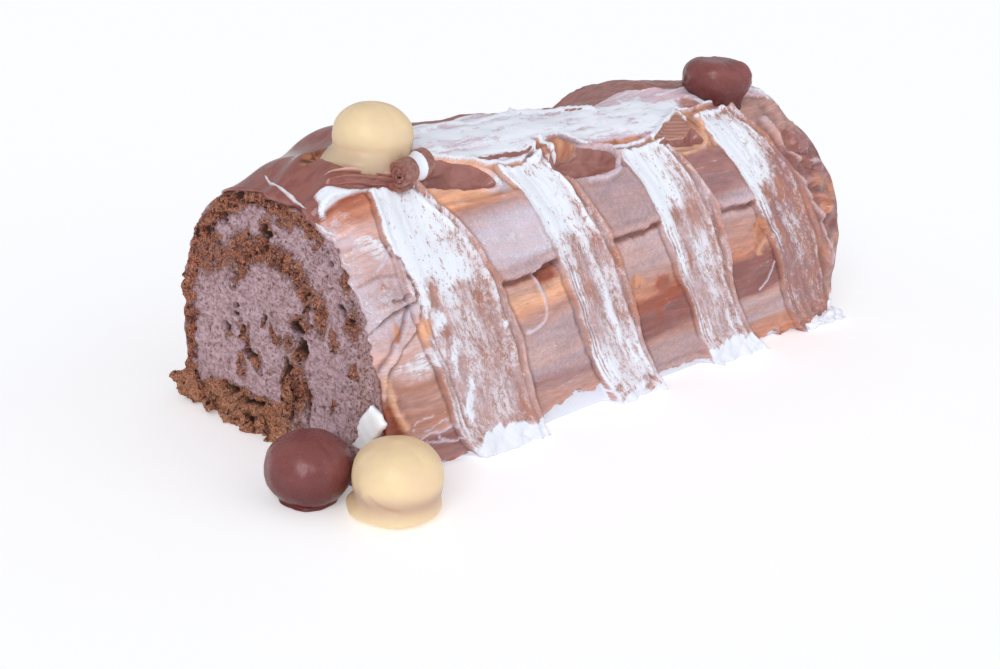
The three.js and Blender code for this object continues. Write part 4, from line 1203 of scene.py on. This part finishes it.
def make_icing():
    arcs = [np.linspace(low, high, count, endpoint=high == COAT_ARC) for low, high, count in ROWS]
    arcs = np.concatenate(arcs)
    edges = [stroke_edges(stroke, arcs) for stroke in STROKES]
    lines = [coat_front(arcs)] + [line for pair in edges for line in pair] + [coat_back(arcs)]
    for low, high in zip(lines, lines[1:]):
        np.maximum(high, low + 0.5, out=high)
    lines[-2] = np.minimum(lines[-2], lines[-1] - 0.5)
    x = [lines[0]]
    for count, low, high in zip(COLUMNS, lines, lines[1:]):
        x += [mix(low, high, (n + 1) / count) for n in range(count)]
    x = np.array(x)
    arc = np.broadcast_to(arcs, x.shape)
    coat = Icing(x, arc, edges).build()

    angle, inner = coat_inside(x, arc)
    plain = section_radius(angle, COAT_HALF_WIDTH, COAT_HEIGHT) - inner
    plain = plain - slump(np.degrees(angle), x - coat_front(arc) + 8, coat_back(arc) - x + 4)
    over_top = bell(arc - COAT_ARC / 2, 60)
    reach = 7 + 9 * smooth(100, 114, arc) + 16 * smooth(135, 160, arc) * fall(190, 220, arc)
    thin_front = smooth(-2, reach, x - coat_front(arc))
    thin_back = smooth(0, 12 + 14 * over_top, coat_back(arc) - x + 3 * wobble(arc, x, 7, 9))
    full = mix(0.16, 1, np.minimum(thin_front, thin_back))
    r = inner + np.maximum(0.6, plain * full)
    rise = np.maximum(coat.height * full, 0.5 - plain * full)
    # Relief stands out square to the axis, but turns level near the floor
    level = fall(0, 30, coat.up)
    out_y = mix(np.cos(angle), np.sign(np.cos(angle)), level)
    out_z = mix(np.sin(angle), 0, level)
    size = np.hypot(out_y, out_z)
    y = r * np.cos(angle) + rise * out_y / size
    z = np.maximum(0, AXIS_HEIGHT + r * np.sin(angle) + rise * out_z / size)
    z[:, 0] = 0
    z[:, -1] = 0
    outer = np.stack([x, y, z], -1)

    rows = len(arcs)
    count = len(x)
    rings = [coat_places(line, arcs) for line in (coat_front(arcs), coat_back(arcs))]
    foot = foot_half_width(CORE_HALF_WIDTH) + COAT_GAP
    soles = [np.stack([x[:, k], np.full(count, y), np.zeros(count)], -1) for k, y in ((0, -foot), (-1, foot))]
    points = np.concatenate([outer.reshape(-1, 3), *rings, *soles])
    faces = sheet(count, rows)
    front, back = count * rows, count * rows + rows
    sole = (back + rows, back + rows + count)
    for k in range(rows - 1):
        faces.append((front + k, front + k + 1, back + k + 1, back + k))
        faces.append((k, k + 1, front + k + 1, front + k))
        last = (count - 1) * rows + k
        faces.append((last + 1, last, back + k, back + k + 1))
    for i in range(count - 1):
        faces.append(((i + 1) * rows, i * rows, sole[0] + i, sole[0] + i + 1))
        faces.append((i * rows + rows - 1, (i + 1) * rows + rows - 1, sole[1] + i + 1, sole[1] + i))
    made = object_of("icing_coat", points, faces, icing_material())

    def spread(values, inside=None):
        """Values for every point. The loops and soles take those of the edge next to them, or the one
        given for the inside."""
        loops = [values[0], values[-1]]
        if inside is not None:
            loops = [np.full_like(loop, inside) for loop in loops]
        return np.concatenate([values.reshape(-1, *values.shape[2:]), *loops, values[:, 0], values[:, -1]])

    attribute(made, "spot", spread(np.stack([x, arc, 0 * x], -1)))
    attribute(made, "run", spread(np.stack([x - coat.left, arc, 3.7 * coat.which], -1)))
    attribute(made, "colour", spread(coat.colour))
    attribute(made, "cover", spread(coat.cover, 0.1))
    for name in ("gloss", "in_stroke", "dark", "amber", "rim", "ribbed", "deep"):
        attribute(made, name, spread(getattr(coat, name)))
    dress(made, "icing", "icing")
    return x, arcs, outer


def on_coat(grid, x, arc):
    """Where a place on the coat lies, with its relief."""
    columns, arcs, outer = grid
    k = int(np.clip(np.searchsorted(arcs, arc) - 1, 0, len(arcs) - 2))
    found = [[np.interp(x, columns[:, row], outer[:, row, axis]) for axis in range(3)] for row in (k, k + 1)]
    return mix(np.array(found[0]), np.array(found[1]), (arc - arcs[k]) / (arcs[k + 1] - arcs[k]))


# Each strand tint: the colour of its underside, and the paler colour of its upper side, which is painted
# light
STRAND_TINTS = {
    "fold": ((0.33, 0.13, 0.10), (0.78, 0.47, 0.38)),
    "groove": ((0.26, 0.09, 0.07), (0.44, 0.19, 0.13)),
    "cream": ((0.62, 0.47, 0.50), (0.88, 0.86, 0.92)),
}


def strand_material(tint):
    """Smooth chocolate or white cream, with painted light on its upper side."""
    s = Shader(tint)
    soft = s.noise(s.place(), 0.7, 3.0, 0.6)
    lit = s.times(s.step(s.read("upper"), 0.1, 0.9), s.step(soft, 0.2, 0.5))
    colour = s.blend(lit, *STRAND_TINTS[tint])
    return s.finish(colour, 0.3, s.bump(soft, 0.3, 0.4), Subsurface_Weight=LIGHT_IN)


def make_strand(number, grid, tint, sunk, radius, path):
    """A thin round strand that lies along a line of places on the coat and tapers off at its ends."""
    spokes = 12
    middle = np.array([on_coat(grid, x, arc) for x, arc in rounded(path, rounds=3)])
    for _ in range(3):
        middle[1:-1] = (middle[:-2] + 2 * middle[1:-1] + middle[2:]) / 4
    along = np.concatenate([[0], np.cumsum(np.linalg.norm(np.diff(middle, axis=0), axis=1))])
    along = along / along[-1]
    r = np.interp(along, np.linspace(0, 1, len(radius)), radius)
    r = r * (1 + 0.3 * noise(along * 11, number, 0, 83))
    ahead = np.gradient(middle, axis=0)
    ahead /= np.linalg.norm(ahead, axis=1)[:, None]
    outward = middle - np.array([0, 0, AXIS_HEIGHT])
    outward[:, 0] = 0
    outward -= (outward * ahead).sum(1)[:, None] * ahead
    outward /= np.linalg.norm(outward, axis=1)[:, None]
    beside = np.cross(ahead, outward)
    angle = -np.linspace(0, 2 * math.pi, spokes, endpoint=False)
    ring = beside[:, None] * np.cos(angle)[None, :, None] + outward[:, None] * np.sin(angle)[None, :, None]
    points = middle[:, None] - sunk * outward[:, None] + ring * r[:, None, None]
    last = (len(middle) - 1) * spokes
    faces = [tuple(range(spokes))[::-1], tuple(range(last, last + spokes)), *hoop(len(middle), spokes)]
    made = object_of(f"icing_strand_{number}", points.reshape(-1, 3), faces, strand_material(tint))
    attribute(made, "upper", ring[..., 2].ravel())
    dress(made, "icing")


# Light and floor. Each sun has its name, where its light goes, its strength and its breadth in degrees.
WORLD_LIGHT = 0.50
WORLD_TINT = (0.94, 0.96, 1.0)
FLOOR_TINT = (0.90, 0.90, 0.92)
FLOOR_GLOW = 0.28
FLOOR_HALF = 4000.0
SUNS = (("key", (0.75, 0.50, -0.62), 1.35, 35), ("side", (-0.3, 0.9, -0.5), 0.5, 60))

# Bonbons: the same place and size as their solids. The profile goes up from the ground, as shares of the
# height and of the radius. "skirt" is how far the coating ran out and between which shares of the height it
# turns in again, "towards" is the angle that it ran to, "uneven" is how lumpy the coating is, and the shade
# band gives the height and the breadth of a darker band that is painted shade.
BONBONS = (
    {
        "node": "bonbon_caramel_top", "at": (-95.3, -14.2, 87.6), "radius": 12.9, "height": 22,
        "towards": 165, "uneven": 0.2,
        "skirt": (4.5, 0.24, 0.42), "shade_band": (0.12, 0.35),
        "profile": ((0, 0.95), (0.2, 0.95), (0.3, 0.93), (0.38, 0.96), (0.5, 1), (0.64, 0.97),
            (0.78, 0.86), (0.89, 0.66), (0.96, 0.42), (1, 0)),
    },
    {
        "node": "bonbon_milk_top", "at": (80.8, -14.4, 87.6), "radius": 13.6, "height": 18.8,
        "towards": 150, "uneven": 0.5,
        "skirt": (0.8, 0.1, 0.35), "shade_band": (0, 0.6),
        "profile": ((0, 0.78), (0.2, 0.82), (0.34, 0.92), (0.5, 1), (0.72, 0.99), (0.87, 0.91),
            (0.97, 0.72), (1, 0.5), (0.98, 0)),
    },
    {
        "node": "bonbon_milk_foot", "at": (-141, -39.5, 0), "radius": 13.2, "height": 21.5, "towards": 200,
        "uneven": 0.35,
        "skirt": (0.6, 0.02, 0.08), "shade_band": (0, 0.65),
        "profile": ((0, 0.6), (0.03, 0.66), (0.06, 0.64), (0.13, 0.78), (0.28, 0.95), (0.46, 1),
            (0.64, 0.96), (0.8, 0.82), (0.92, 0.56), (0.98, 0.32), (1, 0)),
    },
    {
        "node": "bonbon_caramel_foot", "at": (-127.7, -63.8, 0), "radius": 13.5, "height": 23.5,
        "towards": 134, "uneven": 0.2,
        "skirt": (2.4, 0.09, 0.26), "shade_band": (0.33, 0.13),
        "profile": ((0, 0.66), (0.04, 0.78), (0.09, 0.95), (0.16, 0.97), (0.23, 0.93), (0.31, 0.95),
            (0.45, 1), (0.62, 0.98), (0.77, 0.88), (0.88, 0.7), (0.95, 0.46), (1, 0)),
    },
)

# A crease in the coating of one bonbon: its places by angle, in steps of 6 degrees, and by height, in
# twentieths of the bonbon's
CREASED = "bonbon_caramel_foot"
CREASE = ((31.5, 8.6), (33.5, 7.2), (36.0, 6.0), (38.0, 5.8))


def make_bonbon(node, at, radius, height, profile, skirt, towards, uneven, shade_band, material, slot):
    spokes = 110
    ran_out, turns_in, turned_in = skirt
    lifts, shares = (np.array(line)[:-1, None] for line in zip(*rounded(profile, rounds=3)))
    rows = len(lifts)
    angle = np.linspace(0, 2 * math.pi, spokes, endpoint=False)[None, :]
    oval = 1 + 0.02 * np.sin(2 * angle + at[0]) + 0.015 * np.sin(3 * angle + 2 * at[0])
    facing = (0.5 + 0.5 * np.cos(angle - math.radians(towards))) ** 3
    run = ran_out * facing * fall(turns_in, turned_in, lifts) * (1 + 0.15 * np.sin(7 * angle))
    r = radius * oval * shares + run
    dents = rough(np.cos(angle) * 2.2, np.sin(angle) * 2.2, lifts * 3.5, 61)
    r = r + uneven * dents * smooth(0.1, 0.6, shares)
    lift = height * lifts + uneven * 0.8 * dents * smooth(0.6, 1, lifts) * smooth(0.1, 0.6, shares)
    if node == CREASED:
        away, _ = path_distance(CREASE, np.degrees(angle) / 6 + 0 * lifts, lifts * 20 + 0 * angle)
        r = r - 0.5 * bell(away, 0.8) + 0.3 * bell(away - 1.4, 1.0)
    ring = np.stack([at[0] + r * np.cos(angle), at[1] + r * np.sin(angle), at[2] + lift], -1)
    points = np.concatenate([ring.reshape(-1, 3), [at, (at[0], at[1], at[2] + height)]])
    faces = hoop(rows, spokes)
    last = (rows - 1) * spokes
    for j in range(spokes):
        n = (j + 1) % spokes
        faces += [(len(points) - 2, n, j), (len(points) - 1, last + j, last + n)]
    made = object_of(node + "_dipped", points, faces, material)
    # The band of painted shade, which the coating's material reads
    low = np.broadcast_to(bell(lifts - shade_band[0], shade_band[1]), r.shape).ravel()
    attribute(made, "low", np.concatenate([low, [1, 0]]))
    dress(made, slot, node)


# Each coating: its colour, a second shade of it for unevenness, the colour painted into its band of shade,
# how rough it is and how much it is speckled with painted highlights
COATINGS = {
    "caramel": ((0.90, 0.68, 0.41), (0.86, 0.64, 0.41), (0.52, 0.36, 0.26), 0.42, 0.0),
    "milk": ((0.27, 0.09, 0.088), (0.21, 0.068, 0.062), (0.08, 0.004, 0.004), 0.30, 0.35),
}


def make_bonbons():
    materials = {kind: coating_material(kind, *coating) for kind, coating in COATINGS.items()}
    for bonbon in BONBONS:
        kind = bonbon["node"].split("_")[1]
        make_bonbon(**bonbon, material=materials[kind], slot=kind + "_coating")


# The curl that the knife left on the drape: a short scroll of chocolate with a white band in it
CURL_FROM = -99
CURL_TO = -84.5
CURL_AT = (-30.4, 90.0)
CURL_LEAN = (4.2, 0.7)
CURL_RADIUS = 4.5
CURL_PITCH = 1.45
CURL_TURNS = 2.8


def make_curl():
    turns = np.linspace(0, CURL_TURNS, 90)
    places = np.linspace(0, 1, 26)[:, None]
    angle = 2 * math.pi * turns - 1.9
    half = 0.5 * CURL_PITCH * (0.93 - 0.1 * turns / CURL_TURNS)
    grown = 1 + 0.22 * smooth(0.55, 0.85, places) + 0.02 * noise(places * 9, turns * 2, 0, 81)
    sides = []
    for side in (-1, 1):
        r = CURL_RADIUS - CURL_PITCH * turns + side * half
        y = CURL_AT[0] + CURL_LEAN[0] * places + grown * r * np.cos(angle)
        z = CURL_AT[1] + CURL_LEAN[1] * places + grown * r * np.sin(angle)
        x = mix(CURL_FROM, CURL_TO, places) - 0.5 * (r < 0) + 0.25 * np.cos(angle * 2) + 0 * y
        sides.append(np.stack([x, y, z], -1).reshape(-1, 3))
    s = Shader("curl")
    soft = s.noise(s.place(), 0.8, 3.0, 0.6)
    brown = s.blend(s.step(soft, 0.35, 0.65), (0.26, 0.09, 0.07), (0.38, 0.17, 0.14))
    band = s.add(s.read("band"), s.times(s.minus(soft, 0.5), 0.5))
    colour = s.blend(s.step(band, 0.45, 0.55), brown, WHITE)
    material = s.finish(colour, 0.28, s.bump(soft, 0.2, 0.3), Subsurface_Weight=LIGHT_IN)
    faces = slab(len(places), len(turns))
    made = object_of("icing_curl", np.concatenate(sides), faces, material, smooth_angle=50)
    pale = smooth(0.42, 0.50, places) * fall(0.70, 0.78, places) + 0 * turns
    attribute(made, "band", np.concatenate([0 * pale, pale]).ravel())
    dress(made, "icing")


# Crumbs of sponge at the foot of the shown cut, and cream at the far foot: middles and half sizes
CRUMBS = (
    ((-126.5, 49.5, 8.5), (1.6, 3.6, 1.3)), ((-127, 47, 4), (1.8, 3.2, 2)),
    ((-126, 43, 2), (1.6, 2.4, 1.8)), ((-127.2, 33, 3), (1.7, 3, 2.4)), ((-126.8, 22, 2.2), (1.6, 3.4, 2)),
    ((-127.2, 12, 3), (1.8, 3, 2.6)), ((-126.5, 4, 5), (1.6, 2.2, 2.4)), ((-125.8, -9, 14), (1.6, 2, 3)),
    ((-126, -10, 20), (1.5, 2.2, 2.4)),
)
SCRAPS = (
    ((108, -54.5, 2), (5, 2.6, 2.2)), ((116, -55, 2.5), (6, 3.4, 3)), ((122, -54, 2), (4, 3.2, 2.6)),
    ((127, -48, 1.2), (2.4, 4.5, 1.2)), ((118, -52, 6), (2.4, 2.4, 3.4)),
    ((125, -56, 0.9), (2.4, 2.4, 0.9)),
)
# Flat pieces against the shown cut, as outlines of (y, z)
FLAKE = ((-48.6, 28.6), (-49.2, 28.4), (-51.8, 26.4), (-54.5, 24.2), (-54.4, 23.6), (-49.5, 17.5),
    (-47.2, 13), (-42, 6.5), (-38.4, 6.5), (-37.6, 10), (-42, 14.5), (-43.6, 18), (-42.4, 20.5),
    (-45.4, 25))
TONGUE = ((57.5, 7), (54, 8.4), (51, 9), (48, 12), (44, 12), (40, 8), (38, 5), (39, 1.5), (43, 1.2),
    (46, 3.8), (50, 4), (52, 2.6), (53.5, 4.8))


def make_lumps(name, lumps, material, slot):
    """Uneven lumps, as one piece."""
    rows, spokes = 14, 22
    slope = np.linspace(0, math.pi, rows)[:, None]
    angle = np.linspace(0, 2 * math.pi, spokes, endpoint=False)[None, :]
    x, y, z = np.sin(slope) * np.cos(angle), np.sin(slope) * np.sin(angle), np.cos(slope) + 0 * angle
    points, faces = [], []
    for number, (at, size) in enumerate(lumps):
        seed = 31 * number + 5
        bumps = 1 + 0.55 * rough(x * 1.7 + seed, y * 1.7, z * 1.7, seed)
        some = np.array(at) + np.stack([x, y, z], -1) * bumps[..., None] * np.array(size)
        some[..., 2] = np.maximum(some[..., 2], 0)
        faces += hoop(rows, spokes, number * rows * spokes, flip=True)
        points.append(some.reshape(-1, 3))
    made = object_of(name, np.concatenate(points), faces, material)
    dress(made, slot)
    return made


def make_flat_piece(name, outline, at, thick, uneven, material, slot):
    """A thin uneven piece that lies against the shown cut."""
    edge = np.array(rounded(outline, closed=True))
    middle = edge.mean(0)
    rings = 12
    shares = np.linspace(1, 0.04, rings)
    places = middle + (edge - middle)[None] * shares[:, None, None]
    y, z = places[..., 0], places[..., 1]
    y = y + 0.5 * rough(y / 1.5, z / 1.5, 0, 11) * shares[:, None]
    z = np.maximum(0.05, z + 0.5 * rough(y / 1.5, z / 1.5, 3, 12) * shares[:, None])
    lift = thick * (1 - shares[:, None] ** 12) + uneven * rough(y / 2.2, z / 2.2, 0, 13)
    front = np.stack([at - lift, y, z], -1)
    back = np.stack([at + 1.2 + 0 * y[:1], y[:1], z[:1]], -1)
    count = len(edge)
    points = np.concatenate([back.reshape(-1, 3), front.reshape(-1, 3)])
    faces = hoop(rings + 1, count, flip=True)
    faces += [tuple(range(rings * count, (rings + 1) * count))[::-1], tuple(range(count))]
    made = object_of(name, points, faces, material)
    dress(made, slot)
    return made


def cream_material(name, scale, detail, low, high, rough, bump):
    s = Shader(name)
    soft = s.noise(s.place(), scale, detail, 0.6)
    return s.finish(s.blend(s.step(soft, 0.3, 0.5), low, high), rough, s.bump(soft, bump, bump))


def crumb_all_over(made, moist):
    """What the material of a cut face reads, for a piece that is crumb on all sides."""
    for key, value in (("crumb", 4), ("hole", 0), ("blush", 0), ("moist", moist)):
        attribute(made, key, np.full(len(made.data.vertices), value))


def make_scraps():
    crumb = cut_material("crumbs")
    crumb_all_over(make_lumps("sponge_crumbs", CRUMBS, crumb, "sponge"), moist=0.7)
    white = cream_material("scraps", scale=0.6, detail=4.0, low=(0.80, 0.76, 0.84), high=WHITE, rough=0.5,
        bump=0.6)
    make_lumps("icing_scraps", SCRAPS, white, "icing")
    bright = cream_material("flake", scale=0.4, detail=3.0, low=(0.90, 0.91, 0.96), high=(0.96, 0.97, 1.0),
        rough=0.4, bump=0.4)
    make_flat_piece("icing_flake", FLAKE, at=-125, thick=0.7, uneven=0.15, material=bright, slot="icing")
    tongue = make_flat_piece("sponge_tongue", TONGUE, at=-125.5, thick=2.2, uneven=0.9, material=crumb,
        slot="sponge")
    crumb_all_over(tongue, moist=0.8)


def make_stage():
    s = Shader("floor")
    material = s.finish(FLOOR_TINT, 0.8, Emission_Color=(1, 1, 1), Emission_Strength=FLOOR_GLOW)
    corners = [(-1, -1, 0), (1, -1, 0), (1, 1, 0), (-1, 1, 0)]
    floor = object_of("floor", FLOOR_HALF * np.array(corners), [(0, 1, 2, 3)], material)
    world = bpy.data.worlds.new("studio")
    world.use_nodes = True
    sky = world.node_tree.nodes["Background"].inputs
    sky["Color"].default_value = (*WORLD_TINT, 1)
    sky["Strength"].default_value = WORLD_LIGHT
    bpy.context.scene.world = world
    for name, direction, strength, spread in SUNS:
        light = bpy.data.lights.new(name, "SUN")
        light.energy = strength
        light.angle = math.radians(spread)
        lamp = bpy.data.objects.new(name, light)
        lamp.rotation_euler = Vector(direction).to_track_quat("-Z", "Y").to_euler()
        bpy.context.scene.collection.objects.link(lamp)


# The photograph's view: the azimuth from +X towards +Y, the tilt down and the roll in degrees, and the lens
CAMERA_TURN = (43.897, 20.253, 2.058)
CAMERA_AT = (-369.9, -335.8, 190.8)
CAMERA_LENS = 50.08
CAMERA_SENSOR = 36


def make_camera():
    azimuth, tilt, roll = (math.radians(a) for a in CAMERA_TURN)
    ahead = Vector((math.cos(tilt) * math.cos(azimuth), math.cos(tilt) * math.sin(azimuth), -math.sin(tilt)))
    right = ahead.cross(Vector((0, 0, 1))).normalized()
    up = right.cross(ahead)
    tilted_right = math.cos(roll) * right + math.sin(roll) * up
    tilted_up = -math.sin(roll) * right + math.cos(roll) * up
    data = bpy.data.cameras.new("camera")
    data.lens = CAMERA_LENS
    data.sensor_width = CAMERA_SENSOR
    camera = bpy.data.objects.new("camera", data)
    turn = Matrix((tilted_right, tilted_up, -ahead)).transposed().to_4x4()
    camera.matrix_world = Matrix.Translation(Vector(CAMERA_AT) * MM) @ turn
    bpy.context.scene.collection.objects.link(camera)
    bpy.context.scene.camera = camera


bpy.context.scene.view_settings.view_transform = "Standard"
make_camera()
make_stage()
make_sponge()
make_mousse()
coat_grid = make_icing()
for number, strand in enumerate(STRANDS):
    make_strand(number, coat_grid, *strand)
make_curl()
make_scraps()
make_bonbons()
